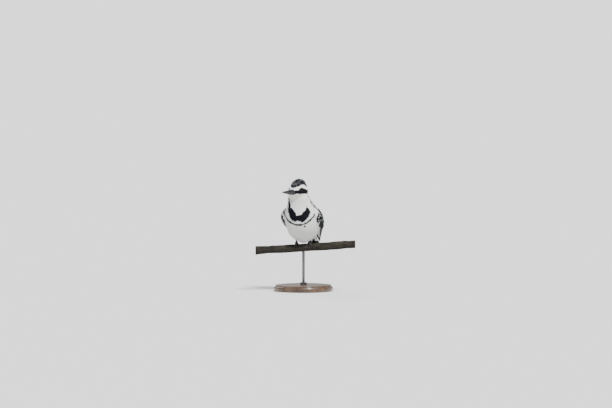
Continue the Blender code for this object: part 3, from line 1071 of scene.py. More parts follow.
class FeatherMesh:
    """Gathers the triangles of many feathers into one closed-bodied mesh."""

    def __init__(self) -> None:
        """Starts empty."""
        self.parts: list[tuple[Array, Array, Array, Array, Array]] = []

    def add(self, rings: Array, facing: Array, place: Array, feather: Array, pointed: bool = False) -> None:
        """Adds closed bodies that all have the same rings.

        Args:
            rings: Body, ring, corner, xyz. Seen along the body, corners run left to right over the top.
            facing: Body, ring, corner, xyz: the way the surface faces there, softened like real barbs.
            place: Body, ring, corner, place across (-1 to 1) and along (0 to 1) the feather.
            feather: Number of the feather that each body belongs to.
            pointed: Whether the last ring is a single point.
        """
        bodies, count, corners, _ = rings.shape
        last = (count - 1) * corners
        triangles = []
        for ring in range(count - 1):
            for corner in range(corners):
                a, b = ring * corners + corner, ring * corners + (corner + 1) % corners
                triangles.append((a, b, b + corners))
                if not (pointed and ring == count - 2):
                    triangles.append((a, b + corners, a + corners))
        for corner in range(1, corners - 1):
            triangles.append((0, corner + 1, corner))
            if not pointed:
                triangles.append((last, last + corner, last + corner + 1))
        each = last + (1 if pointed else corners)
        local = np.minimum(triangles, each - 1)
        points, normals, spots = (
            values.reshape(bodies, count * corners, -1)[:, :each].reshape(bodies * each, -1)
            for values in (rings, facing, place)
        )
        whole = (local + (np.arange(bodies) * each)[:, None, None]).reshape(-1, 3)
        self.parts.append((points, whole, normals, spots, np.repeat(feather, each)))

    def add_lines(self, corners: list[Array], facings: list[Array], places: tuple[float, ...]) -> None:
        """Adds one body for each feather, from lines that run along it.

        Args:
            corners: Points on each line, which run left to right over the top.
            facings: The way the surface faces there.
            places: Place of each line across the feather, from -1 to 1.
        """
        rings = np.stack(corners, axis=2)
        ways = np.array(places), np.linspace(0.0, 1.0, rings.shape[1])[:, None]
        spots = np.stack([np.broadcast_to(way, rings.shape[:3]) for way in ways], axis=3)
        self.add(rings, np.stack(facings, axis=2), spots, np.arange(len(rings)))

    def gathered(self) -> tuple[Array, Array, Array, Array, Array]:
        """Points, triangles, normals, places on the feather and feather numbers of all that was added."""
        points, faces, normals, spots, feathers = zip(*self.parts)
        starts = np.cumsum([0, *map(len, points)])
        triangles = np.concatenate([face + start for face, start in zip(faces, starts)])
        whole = np.concatenate
        return whole(points), triangles, unit(whole(normals)), whole(spots), whole(feathers)


def jagged(vanes: Vanes, draw: Random, amount: float) -> tuple[Array, Array]:
    """Left and right half widths with uneven edges."""
    shape = vanes.width.shape
    left = vanes.width * (1.0 + amount * draw.uniform(-1.0, 0.6, shape))
    right = vanes.width * (1.0 + amount * draw.uniform(-1.0, 0.6, shape))
    return left, right


def add_soft_vanes(mesh: FeatherMesh, vanes: Vanes, draw: Random) -> None:
    """Adds a thin three-cornered vane for each feather.

    Args:
        mesh: Mesh that gets the bodies.
        vanes: Feathers to build.
        draw: Random numbers for the edges.
    """
    _, across_it = vanes.sides()
    left, right = (half[..., None] for half in jagged(vanes, draw, 0.22))
    hang = vanes.normal * vanes.cup
    corners = [
        vanes.centre - across_it * left - hang * left,
        vanes.centre + vanes.normal * vanes.thick,
        vanes.centre + across_it * right - hang * right,
    ]
    facings = [vanes.normal + across_it * turn for turn in (-0.25, 0.0, 0.25)]
    mesh.add_lines(corners, facings, (-1.0, 0.0, 1.0))


def add_barbs(mesh: FeatherMesh, vanes: Vanes, plume: Plume, length: Array, draw: Random) -> None:
    """Adds loose barbs, thin spikes that fan out of each shaft and fray the vane's edge.

    Args:
        mesh: Mesh that gets the bodies.
        vanes: Feathers that the barbs grow on.
        plume: Look of the region.
        length: Length of each feather.
        draw: Random numbers for place, angle and length.
    """
    along_it, across_it = vanes.sides()
    count, stations = vanes.width.shape
    whole = np.arange(count)
    for number in range(plume.barbs):
        side = 1.0 if number % 2 else -1.0
        share = 0.22 + 0.74 * (number // 2 + draw.uniform(0.0, 0.9, count)) / max(1, (plume.barbs + 1) // 2)
        at = np.clip(share, 0.0, 0.99) * (stations - 1)
        low = np.floor(at).astype(int)
        part = (at - low)[:, None]
        place, ahead, sideways, facing = (
            values[whole, low] * (1 - part) + values[whole, low + 1] * part
            for values in (vanes.centre, along_it, across_it, vanes.normal)
        )
        angle = np.radians(38.0 - 26.0 * share + draw.uniform(-7.0, 7.0, count))[:, None]
        half = vanes.width[whole, low][:, None]
        reach = (plume.reach * length * draw.uniform(0.75, 1.2, count) * (1.05 - 0.35 * share))[:, None]
        lift = draw.uniform(-0.10, 0.16, count)[:, None]
        heading = unit(ahead * np.cos(angle) + sideways * side * np.sin(angle) + facing * lift)
        base = place + sideways * side * half * 0.25 + facing * vanes.thick * 0.7
        wide = unit(np.cross(heading, facing)) * 0.036 * plume.width * draw.uniform(0.8, 1.3, count)[:, None]
        mid = base + heading * reach * 0.55
        tip = base + heading * reach - facing * vanes.cup * reach * 0.4
        ridge = facing * 0.06
        soft = facing + 0.2 * side * sideways
        sections = ((base, wide, ridge), (mid, wide * 0.8, ridge), (tip, 0.0, 0.0))
        rings = [np.stack([line - aside, line + top, line + aside], axis=1) for line, aside, top in sections]
        rings = np.stack(rings, axis=1)
        out = (side * (0.25 + reach * np.sin(angle) / np.maximum(half, 0.2)))[:, 0]
        end = share + (reach * np.cos(angle))[:, 0] / length
        spots = np.zeros((count, 3, 3, 2))
        for ring, part_out in enumerate((0.0, 0.55, 1.0)):
            spots[:, ring, :, 0] = (side * 0.25 + (out - side * 0.25) * part_out)[:, None]
            spots[:, ring, :, 1] = (share + (end - share) * part_out)[:, None]
        mesh.add(rings, np.broadcast_to(soft[:, None, None], rings.shape), spots, whole, pointed=True)


def add_stiff_vanes(mesh: FeatherMesh, vanes: Vanes, draw: Random, notches: float = 0.10) -> None:
    """Adds broad vanes with a raised shaft, as flight and tail feathers have.

    Args:
        mesh: Mesh that gets the bodies.
        vanes: Feathers to build.
        draw: Random numbers for the edges.
        notches: How uneven the edges are.
    """
    _, across_it = vanes.sides()
    left, right = (half[..., None] for half in jagged(vanes, draw, notches))
    up, flat = vanes.normal, vanes.thick
    shaft = vanes.rachis * np.linspace(1.0, 0.35, vanes.width.shape[1])[:, None]
    offsets = (  # place across, sag as a share of the half width, height, and lean of the normal
        (-1.0, -vanes.cup, 0.0, -0.45),
        (-0.55, -0.3 * vanes.cup, flat, -0.2),
        (-0.07, 0.0, flat, -0.5),
        (0.0, 0.0, None, 0.0),
        (0.07, 0.0, flat, 0.5),
        (0.55, -0.3 * vanes.cup, flat, 0.2),
        (1.0, -vanes.cup, 0.0, 0.45),
        (0.0, -0.1 * vanes.cup, -0.5 * flat, 0.0),
    )
    corners, facings = [], []
    for share, hang, high, turn in offsets:
        half = left if share < 0 else right
        rise = flat + shaft if high is None else high
        bent = vanes.across_at(vanes.bends, share)
        corners.append(vanes.centre + across_it * share * half + up * (hang * half + rise) + bent)
        facings.append(up + turn * across_it + vanes.across_at(vanes.turns, share))
    facings[-1] = -up
    mesh.add_lines(corners, facings, tuple(offset[0] for offset in offsets))


def feather_piece(name: str, mesh: FeatherMesh, vanes: Vanes, colours_of: Colouring) -> Object:
    """One coat piece with its colours and maps.

    Args:
        name: Name of the piece.
        mesh: Its bodies.
        vanes: The feathers they belong to.
        colours_of: Function from points, feather numbers, side and along to colours.

    Returns:
        The object, without a material.
    """
    points, triangles, normals, spots, feathers = mesh.gathered()
    obj = mesh_object(name, points, triangles)
    obj.data.normals_split_custom_set_from_vertices(normals)
    side, along = spots[:, 0], spots[:, 1]
    set_colours(obj.data, colours_of(points, feathers, side, along))
    set_map(obj.data, FEATHER_MAP, np.column_stack([0.5 + 0.5 * side, along]))
    patch = np.column_stack([np.clip(side, -1.3, 1.3) / 2.6, np.clip(along, 0.0, 1.3) / 1.3 - 0.5])
    set_map(obj.data, BAKE_MAP, vanes.home[feathers] + patch * BAKE_PATCH)
    return obj


# --- Coat ---


@dataclass
class Lie:
    """The way the coat lies: back over the head, down the body and along the wings."""

    markings: Markings
    bill_base: Triple = (0.0, -20.0, -5.0)  # in the head's axes
    crown_sweep: Triple = (0.0, 1.0, 0.12)
    nape_fall: Triple = (0.0, 0.3, -1.5)
    tail_end: Triple = (0.0, 62.0, -12.0)  # in the bird's axes
    wing_end: Triple = (11.0, 112.0, -14.0)

    def __call__(self, points: Array, normals: Array, on_wing: Array) -> Array:
        """Directions of the coat.

        Args:
            points: Places on the skin.
            normals: The skin's normals there.
            on_wing: For each place 1 on the left wing, -1 on the right and 0 elsewhere.

        Returns:
            Directions within the skin.
        """
        head, bird = self.markings.head, self.markings.bird
        local = head.inside(points)
        away = unit(local - np.array(self.bill_base))
        for pull, start, end in ((self.crown_sweep, -14.0, 6.0), (self.nape_fall, 13.0, 27.0)):
            away = unit(away + np.array(pull) * ease(start, end, local[:, 1])[:, None])
        at_head = head.turned(away)
        body = bird.inside(points)
        at_body = bird.turned(unit(np.array(self.tail_end) - body))
        wing_end = np.array(self.wing_end) * np.column_stack([on_wing, np.ones((len(points), 2))])
        at_wing = bird.turned(unit(wing_end - body))
        share = self.markings.head_share(points)[:, None]
        flow = at_head * share + at_body * (1.0 - share)
        flow = np.where((on_wing == 0)[:, None], flow, at_wing)
        return across(flow, normals)


@dataclass
class Unwrap:
    """The skin laid flat: round the bird's spine one way, and along it the other."""

    markings: Markings
    spine: tuple = ((0.0, 96.0, -14.0), (0.0, 40.0, 30.0), (0.0, 0.0, 48.0), (-6.0, -6.0, 84.0))
    head_line: tuple = ((0.0, 8.0, 0.0), (0.0, -24.0, 0.0))  # in the head's axes

    def __call__(self, points: Array) -> Array:
        """Places on the unwrap.

        Args:
            points: Points in the row frame.

        Returns:
            Two coordinates from 0 to 1 for each.
        """
        bird, head = self.markings.bird, self.markings.head
        knots = np.vstack([bird.outside(self.spine), head.outside(self.head_line)])
        best, angle, share = np.full(len(points), 1e9), np.zeros(len(points)), np.zeros(len(points))
        legs = np.linalg.norm(np.diff(knots, axis=0), axis=1)
        done = np.concatenate([[0.0], np.cumsum(legs)]) / legs.sum()
        for i, (start, end) in enumerate(zip(knots, knots[1:])):
            ahead = (end - start) / legs[i]
            t = np.clip((points - start) @ ahead / legs[i], 0.0, 1.0)
            off = points - start - ahead * (t * legs[i])[:, None]
            sideways = unit(np.cross(ahead, bird.turned([0.0, 1.0, 0.3])))
            turn = np.arctan2(off @ sideways, off @ np.cross(sideways, ahead))
            near = np.linalg.norm(off, axis=1)
            nearer = near < best
            best = np.where(nearer, near, best)
            angle = np.where(nearer, turn, angle)
            share = np.where(nearer, done[i] + t * (done[i + 1] - done[i]), share)
        return np.column_stack([0.01 + 0.98 * (angle + pi) / (2 * pi), 0.01 + 0.98 * share])


@dataclass
class Coat:
    """The contour feathers of head, neck, body and shoulders, rooted all over the skin."""

    skin: Skin
    markings: Markings
    seed: int = 7
    face: Plume = Plume(0.85, 2.2, 0.50, 0.55, barbs=4, reach=0.4, stations=4, ruffle=5.0)
    cheek: Plume = Plume(1.0, 3.6, 0.68, 0.75, barbs=6, reach=0.4, stations=5)
    crown: Plume = Plume(1.0, 6.0, 0.55, 2.0, barbs=6, reach=0.3, ruffle=9.0, spread=0.2, cling=0.8)
    crest: Plume = Plume(
        1.1, 11.0, 0.66, 4.2, barbs=8, reach=0.22, stations=8, ruffle=9.0, spread=0.3, cling=0.35
    )
    neck: Plume = Plume(1.45, 7.0, 1.15, 1.0, barbs=13, reach=0.42)
    breast: Plume = Plume(1.65, 8.5, 1.5, 1.15, barbs=14, reach=0.42, ruffle=9.0, spread=0.2)
    belly: Plume = Plume(1.75, 9.5, 1.45, 1.3, barbs=22, reach=0.44, ruffle=13.0, spread=0.25)
    back: Plume = Plume(2.0, 8.5, 2.3, 1.5, barbs=10, reach=0.20)
    rump: Plume = Plume(1.6, 10.0, 1.9, 1.4, barbs=12, reach=0.28, cling=0.25)
    shoulder: Plume = Plume(1.7, 5.0, 1.6, 1.3, barbs=8, reach=0.22)
    eye_gap: Triple = (-8.0, 1.7, 4.4)  # y, z and radius in the head's axes, where nothing grows
    bill_gap: tuple = (-14.0, -3.4, 4.8, 5.2)  # start in y, then z, half width and half height
    belly_top: float = 36.0  # z in the bird's axes
    belly_end: float = 24.0  # y in the bird's axes
    back_start: float = 12.0  # y in the bird's axes
    back_foot: float = 34.0  # z in the bird's axes
    crown_start: float = -15.0  # y in the head's axes, as the next three
    crest_start: float = -12.0
    face_end: float = -4.0
    crest_tail: float = 29.0
    tries: float = 7.0  # places tried for each feather that fits
    coverts_end: float = 33.0  # y in the tail's axes, past which nothing grows
    covert_line: float = 2.0  # y in the bird's axes, where the small coverts give way to the large

    def build(self) -> None:
        """Makes every coat piece and shows it."""
        self.lie = Lie(self.markings)
        self.unwrap = Unwrap(self.markings)
        self.finish = FeatherFinish("contour_feather", 26.0).material()
        places, normals = self.candidates()
        names = self.names_at(places)
        for name in dict.fromkeys(names[names != ""].tolist()):
            chosen = names == name
            self.build_region(name, places[chosen], normals[chosen])

    def plumes(self) -> dict[str, tuple[str, Plume]]:
        """Material slot and look of each coat piece by its name."""
        return {
            "coat_face": ("plumage_pied", self.face),
            "coat_cheeks": ("plumage_pied", self.cheek),
            "coat_crown": ("plumage_black", self.crown),
            "coat_crest": ("plumage_black", self.crest),
            "coat_neck": ("plumage_white", self.neck),
            "coat_breast": ("plumage_white", self.breast),
            "coat_belly_left": ("plumage_white", self.belly),
            "coat_belly_right": ("plumage_white", self.belly),
            "coat_back": ("plumage_pied", self.back),
            "coat_rump": ("plumage_white", self.rump),
            "coat_shoulder_left": ("plumage_pied", self.shoulder),
            "coat_shoulder_right": ("plumage_pied", self.shoulder),
        }

    def names_at(self, points: Array) -> Array:
        """Which coat piece grows where.

        Args:
            points: Places on the skin.

        Returns:
            Name of the piece at each, empty where nothing grows.
        """
        nodes = self.skin.regions(points)
        head = self.markings.head.inside(points)
        body = self.markings.bird.inside(points)
        on_crown = head[:, 2] > through(self.markings.cap_edge, head[:, 1]) + 0.5
        names = np.full(len(points), "coat_breast", dtype="<U24")
        low = (body[:, 2] < self.belly_top) & (body[:, 1] < self.belly_end)
        names[low] = np.where(body[low, 0] > 0.0, "coat_belly_left", "coat_belly_right")
        names[(body[:, 1] > self.back_start) & (body[:, 2] > self.back_foot)] = "coat_back"
        names[(body[:, 1] >= self.belly_end) & (body[:, 2] <= self.back_foot)] = "coat_rump"
        names[nodes == "tail_coverts"] = "coat_rump"
        names[(nodes == "tail_coverts") & (self.markings.tail.inside(points)[:, 1] > self.coverts_end)] = ""
        names[nodes == "neck"] = "coat_neck"
        names[nodes == "head"] = "coat_cheeks"
        names[(nodes == "head") & (head[:, 1] < self.face_end) & ~on_crown] = "coat_face"
        names[(nodes == "head") & (head[:, 1] < self.crown_start) & on_crown] = "coat_face"
        names[(nodes == "head") & (head[:, 1] >= self.crown_start) & on_crown] = "coat_crown"
        names[nodes == "crest"] = "coat_crest"
        names[(nodes == "crest") & (head[:, 1] < self.crest_start)] = "coat_crown"
        names[(nodes == "crest") & (head[:, 1] > self.crest_tail) & (head[:, 2] < 9.0)] = ""
        for side, _ in SIDES:
            names[nodes == f"wing_{side}_shoulder"] = "coat_shoulder_" + side
            names[nodes == f"wing_{side}_flight"] = ""
        names[np.char.startswith(names, "coat_shoulder") & (body[:, 1] > self.covert_line)] = ""
        names[self.in_eye_or_bill(head)] = ""
        return names

    def in_eye_or_bill(self, head: Array) -> Array:
        """Whether points in the head's axes lie where an eye or the bill comes out."""
        y, z, radius = self.eye_gap
        on_eye = (np.hypot(head[:, 1] - y, head[:, 2] - z) < radius) & (np.abs(head[:, 0]) > 9.0)
        start, middle, half_width, half_height = self.bill_gap
        in_bill = (head[:, 0] / half_width) ** 2 + ((head[:, 2] - middle) / half_height) ** 2 < 1.0
        return on_eye | (in_bill & (head[:, 1] < start))

    def growth(self, names: Array, points: Array) -> Array:
        """How large feathers are at each place against their region's own size, which evens out borders.

        Args:
            names: Name of the coat piece at each place.
            points: The places.

        Returns:
            Factors for length, width and spacing.
        """
        head = self.markings.head.inside(points)
        above = head[:, 2] - 0.28 * (head[:, 1] - 2.0) + 13.2
        front = np.hypot(head[:, 0], head[:, 1] + 24.0)
        eye = np.hypot(head[:, 1] + 7.5, head[:, 2] - 2.0)
        factor = np.ones(len(points))
        on_head = np.isin(names, ("coat_face", "coat_cheeks"))
        factor = np.where(on_head, 1.0 + 0.45 * (1.0 - ease(0.0, 8.0, above)), factor)
        factor = np.where(on_head, factor * (0.55 + 0.45 * ease(4.5, 9.5, eye)), factor)
        factor = np.where(names == "coat_face", factor * (0.65 + 0.45 * ease(5.0, 20.0, front)), factor)
        factor = np.where(names == "coat_neck", 0.68 + 0.32 * ease(0.0, 13.0, -above), factor)
        return factor

    def candidates(self) -> tuple[Array, Array]:
        """Evenly spread roots, closer together where the feathers are smaller."""
        surface = self.skin.surface
        draw = np.random.default_rng(self.seed)
        corners = surface.points[surface.triangles]
        edges = corners[:, 1:] - corners[:, :1]
        areas = 0.5 * np.linalg.norm(np.cross(edges[:, 0], edges[:, 1]), axis=1)
        middles = corners.mean(axis=1)
        names = self.names_at(middles)
        gaps = {"": 1.0} | {name: plume.spacing for name, (_, plume) in self.plumes().items()}
        spacing = np.array([gaps[name] for name in names]) * self.growth(names, middles)
        weight = np.where(names == "", 0.0, areas / spacing**2)
        picked = draw.choice(len(areas), int(self.tries * weight.sum()), p=weight / weight.sum())
        shares = draw.dirichlet((1.0, 1.0, 1.0), len(picked))
        places = np.einsum("nk,nkd->nd", shares, corners[picked])
        normals = unit(np.einsum("nk,nkd->nd", shares, surface.normals[surface.triangles[picked]]))
        kept = self.thinned(places, spacing[picked])
        return places[kept], normals[kept]

    def thinned(self, places: Array, spacing: Array) -> Array:
        """Picks places so that no two are closer than the spacing.

        Args:
            places: The places, in the order they are tried.
            spacing: The gap that each one needs.

        Returns:
            Numbers of the places to keep.
        """
        tree = KDTree(len(places))
        for number, place in enumerate(places.tolist()):
            tree.insert(place, number)
        tree.balance()
        open_places = np.ones(len(places), bool)
        kept = []
        for number in range(len(places)):
            if open_places[number]:
                kept.append(number)
                for _, other, _ in tree.find_range(places[number], spacing[number]):
                    open_places[other] = False
        return np.array(kept)

    def laid(
        self, plume: Plume, growth: Array, roots: Array, normals: Array, on_wing: Array, draw: Random
    ) -> tuple[Array, Array, Array]:
        """Centrelines that follow the skin along the lie of the coat.

        Args:
            plume: Look of the region.
            growth: Size of each feather against the region's own.
            roots: Places of the roots.
            normals: The skin's normals there.
            on_wing: Which wing each root is on, if any.
            draw: Random numbers for direction, length and height.

        Returns:
            Centrelines, their normals and the lengths.
        """
        count = len(roots)
        length = plume.length * growth * (1.0 + plume.spread * draw.uniform(-1.0, 1.0, count))
        step = (length / (plume.stations - 1))[:, None]
        turn = np.radians(plume.ruffle) * draw.normal(0.0, 0.6, count)[:, None]
        place, facing = roots, normals
        heading = self.lie(place, facing, on_wing)
        heading = unit(heading * np.cos(turn) + np.cross(facing, heading) * np.sin(turn))
        centre, normal = [place], [facing]
        for _ in range(plume.stations - 1):
            ahead = place + heading * step
            on_skin, new_facing, _ = self.skin.surface.nearest(ahead)
            place = ahead + plume.cling * (on_skin - ahead)
            facing = unit(facing + plume.cling * new_facing)
            flow = self.lie(place, facing, on_wing)
            heading = across(unit(0.75 * heading + 0.25 * flow), facing)
            centre.append(place)
            normal.append(facing)
        centre, normal = np.stack(centre, axis=1), np.stack(normal, axis=1)
        share = np.linspace(0.0, 1.0, plume.stations)[None, :, None]
        tip = (plume.rise * (1.0 + 0.22 * draw.normal(0.0, 0.6, count)))[:, None, None]
        height = -0.25 + (tip + 0.25) * (1.35 * share - 0.35 * share**2)
        lean = draw.normal(0.0, 0.10, count)[:, None, None]
        tilted = unit(normal + lean * np.cross(unit(np.gradient(centre, axis=1)), normal))
        return centre + normal * height, tilted, length

    def build_region(self, name: str, roots: Array, normals: Array) -> None:
        """Makes one coat piece.

        Args:
            name: Name of the piece.
            roots: Places of the roots.
            normals: The skin's normals there.
        """
        slot, plume = self.plumes()[name]
        draw = np.random.default_rng(self.seed + sum(map(ord, name)))
        on_wing = np.full(len(roots), SHOULDERS.get(name, 0))
        growth = self.growth(np.full(len(roots), name), roots)
        centre, normal, length = self.laid(plume, growth, roots, normals, on_wing, draw)
        share = np.linspace(0.0, 1.0, plume.stations)
        width = plume.width * through(plume.profile, share)[None] * (length / plume.length)[:, None]
        tone = self.markings.tone(roots)
        if name in SHOULDERS:
            tone[:] = Tone.TIPPED.value
        home, luck = self.unwrap(roots), draw.random(len(roots))
        vanes = Vanes(centre, normal, width, home, tone, luck, plume.thick, plume.cup)
        mesh = FeatherMesh()
        add_soft_vanes(mesh, vanes, draw)
        add_barbs(mesh, vanes, plume, length, draw)
        colour = self.colours(vanes, draw, name in SHOULDERS)
        show(feather_piece(name, mesh, vanes, colour), slot, self.finish)

    def colours(self, vanes: Vanes, draw: Random, on_wing: bool) -> Colouring:
        """The function that colours these feathers.

        Args:
            vanes: Feathers to colour.
            draw: Random numbers for the shade of each.
            on_wing: Whether they grow on a wing.

        Returns:
            A function from points, feather numbers, side and along to colours.
        """
        count = len(vanes.luck)
        shift = draw.normal(0.0, 0.35, (count, 3))
        shade = draw.uniform(0.94, 1.0, count)
        down = self.markings.palette.of("down")
        middle = vanes.centre[:, (3 * vanes.centre.shape[1]) // 4]

        def colour(points: Array, feathers: Array, side: Array, along: Array) -> Array:
            """Colours at points of these feathers."""
            sampled = 0.65 * points + 0.35 * middle[feathers] + shift[feathers]
            luck = vanes.luck[feathers]
            plain = self.markings.wing(sampled) if on_wing else self.markings.colour(sampled, luck)
            # Roots are darkened towards the down grey: partly the real grey down, partly painted shade where
            # the next feathers overlap them.
            plain = blend(np.minimum(plain, down), plain, ease(0.0, 0.35, along))
            plain = self.markings.patterned(plain, vanes.tone[feathers], side, along, luck)
            return plain * shade[feathers, None]

        return colour


# --- Wings and tail ---


class Web(Enum):
    """Kinds of broad feathers, which differ in their colours."""

    PRIMARY = "primary"
    SECONDARY = "secondary"
    TERTIAL = "tertial"
    COVERT = "covert"
    DARK_COVERT = "dark covert"
    UNDERSIDE = "underside"


@dataclass(frozen=True)
class Row:
    """A row of broad feathers, from the lower edge of the folded wing to the upper one.

    Places are pairs: share of the wing's length, then share of the way from its lower to its
    upper edge. Each tuple holds the row's first, middle and last feather.
    """

    web: Web
    count: int
    roots: tuple[Pair, ...]
    tips: tuple[Pair, ...]
    half_width: tuple[float, ...]
    sunk: tuple[float, ...]  # depth of the vane below the wing's outer face
    stations: int = 16
    profile: Knots = ((0.0, 0.30), (0.12, 0.72), (0.35, 1.0), (0.75, 0.95), (0.92, 0.66), (1.0, 0.10))
    bend: float = 1.0
    shaft: float = 0.20


class Sheet:
    """The outer face of a folded wing or of the tail, as a grid that can be read anywhere."""

    def __init__(self, grid: Array, outward: float) -> None:
        """Keeps the grid.

        Args:
            grid: Points by share along and share across.
            outward: 1 or -1, whichever turns the normals out.
        """
        self.grid = grid
        up = unit(np.gradient(grid, axis=1))
        self.normals = unit(np.cross(np.gradient(grid, axis=0), up) * outward)
        self.ups = up
        self.spans = np.linalg.norm(np.diff(grid, axis=1), axis=2).sum(axis=1)

    def read(self, along: Array, over: Array) -> tuple[Array, Array, Array]:
        """Reads the sheet.

        Args:
            along: Shares along it.
            over: Shares across it, of the same shape.

        Returns:
            Points, normals and directions to the upper edge.
        """
        rows, columns = self.grid.shape[:2]
        a = np.clip(along, 0.0, 1.0) * (rows - 1)
        b = np.clip(over, 0.0, 1.0) * (columns - 1)
        i, j = np.minimum(a.astype(int), rows - 2), np.minimum(b.astype(int), columns - 2)
        u, v = (a - i)[..., None], (b - j)[..., None]
        found = []
        for values in (self.grid, self.normals, self.ups):
            near = values[i, j] * (1 - v) + values[i, j + 1] * v
            far = values[i + 1, j] * (1 - v) + values[i + 1, j + 1] * v
            found.append(near * (1 - u) + far * u)
        return found[0], unit(found[1]), unit(found[2])

    def span(self, along: Array) -> Array:
        """Width of the sheet at each share along it."""
        return np.interp(along, np.linspace(0.0, 1.0, len(self.spans)), self.spans)


def broad_finish(name: str, count: float, slant: float, depth: float) -> FeatherFinish:
    """The finish of broad feathers, by their barbs, with crisp borders."""
    return FeatherFinish(name, count, slant, depth, roughness=0.62, gloss=0.06, crisp=0.75)


def relaxed(grid: Array, times: int) -> Array:
    """A grid smoothed along both of its ways, with its rims kept."""
    for _ in range(times):
        middle = grid.copy()
        middle[1:-1] = 0.25 * grid[:-2] + 0.5 * grid[1:-1] + 0.25 * grid[2:]
        grid = middle.copy()
        grid[:, 1:-1] = 0.25 * middle[:, :-2] + 0.5 * middle[:, 1:-1] + 0.25 * middle[:, 2:]
    return grid


def laid_row(row: Row, sheet: Sheet, draw: Random, tilt: float) -> Vanes:
    """A row of broad feathers on a sheet.

    Args:
        row: The row.
        sheet: Surface that it lies on.
        draw: Random numbers for small differences.
        tilt: How far each vane's lower edge is raised over its neighbour, as a slope.

    Returns:
        The feathers.
    """
    order = np.linspace(0.0, 1.0, row.count)
    knots = np.linspace(0.0, 1.0, len(row.roots))
    root = np.column_stack([np.interp(order, knots, np.array(row.roots)[:, i]) for i in (0, 1)])
    tip = np.column_stack([np.interp(order, knots, np.array(row.tips)[:, i]) for i in (0, 1)])
    loose = 0.022 if row.web is Web.COVERT else 0.005
    tip += draw.normal(0.0, 1.0, tip.shape) * (loose, 0.6 * loose)
    root[:, 1] += draw.normal(0.0, 0.5 * loose, row.count)
    share = np.linspace(0.0, 1.0, row.stations)[None]
    along = root[:, :1] + (tip[:, :1] - root[:, :1]) * share
    over = root[:, 1:] + (tip[:, 1:] - root[:, 1:]) * share**row.bend
    half = np.interp(order, np.linspace(0.0, 1.0, len(row.half_width)), row.half_width)[:, None]
    half = half * through(row.profile, share)
    reach = np.minimum(half / sheet.span(along), 0.46)
    half = reach * sheet.span(along)
    over = np.clip(over, reach, 1.0 - reach)
    place, normal, up = sheet.read(along, over)
    sunk = np.interp(order, np.linspace(0.0, 1.0, len(row.sunk)), row.sunk)[:, None]
    depth = sunk * (1.0 - 0.35 * share)
    lean = unit(normal + tilt * up)
    sideways = unit(np.cross(np.gradient(place, axis=1), normal))
    way = np.sign(np.sum(sideways * up, axis=2))
    bends, turns = [], []
    for side in np.linspace(-1.0, 1.0, 5):
        beside, facing, _ = sheet.read(along, over + side * way * reach)
        rise = np.sum((beside - place) * normal, axis=2)
        aside = np.sum((beside - place) * sideways, axis=2) - side * half
        bends.append(normal * rise[..., None] + sideways * aside[..., None])
        turns.append(facing - normal)
    return Vanes(
        place - normal * depth[..., None],
        lean,
        half,
        np.column_stack([0.05 + 0.9 * root[:, 1], 0.05 + 0.9 * root[:, 0]]),
        np.zeros(row.count),
        draw.random(row.count),
        thick=0.10,
        cup=0.04,
        rachis=row.shaft,
        bends=np.stack(bends, axis=2),
        turns=np.stack(turns, axis=2),
    )


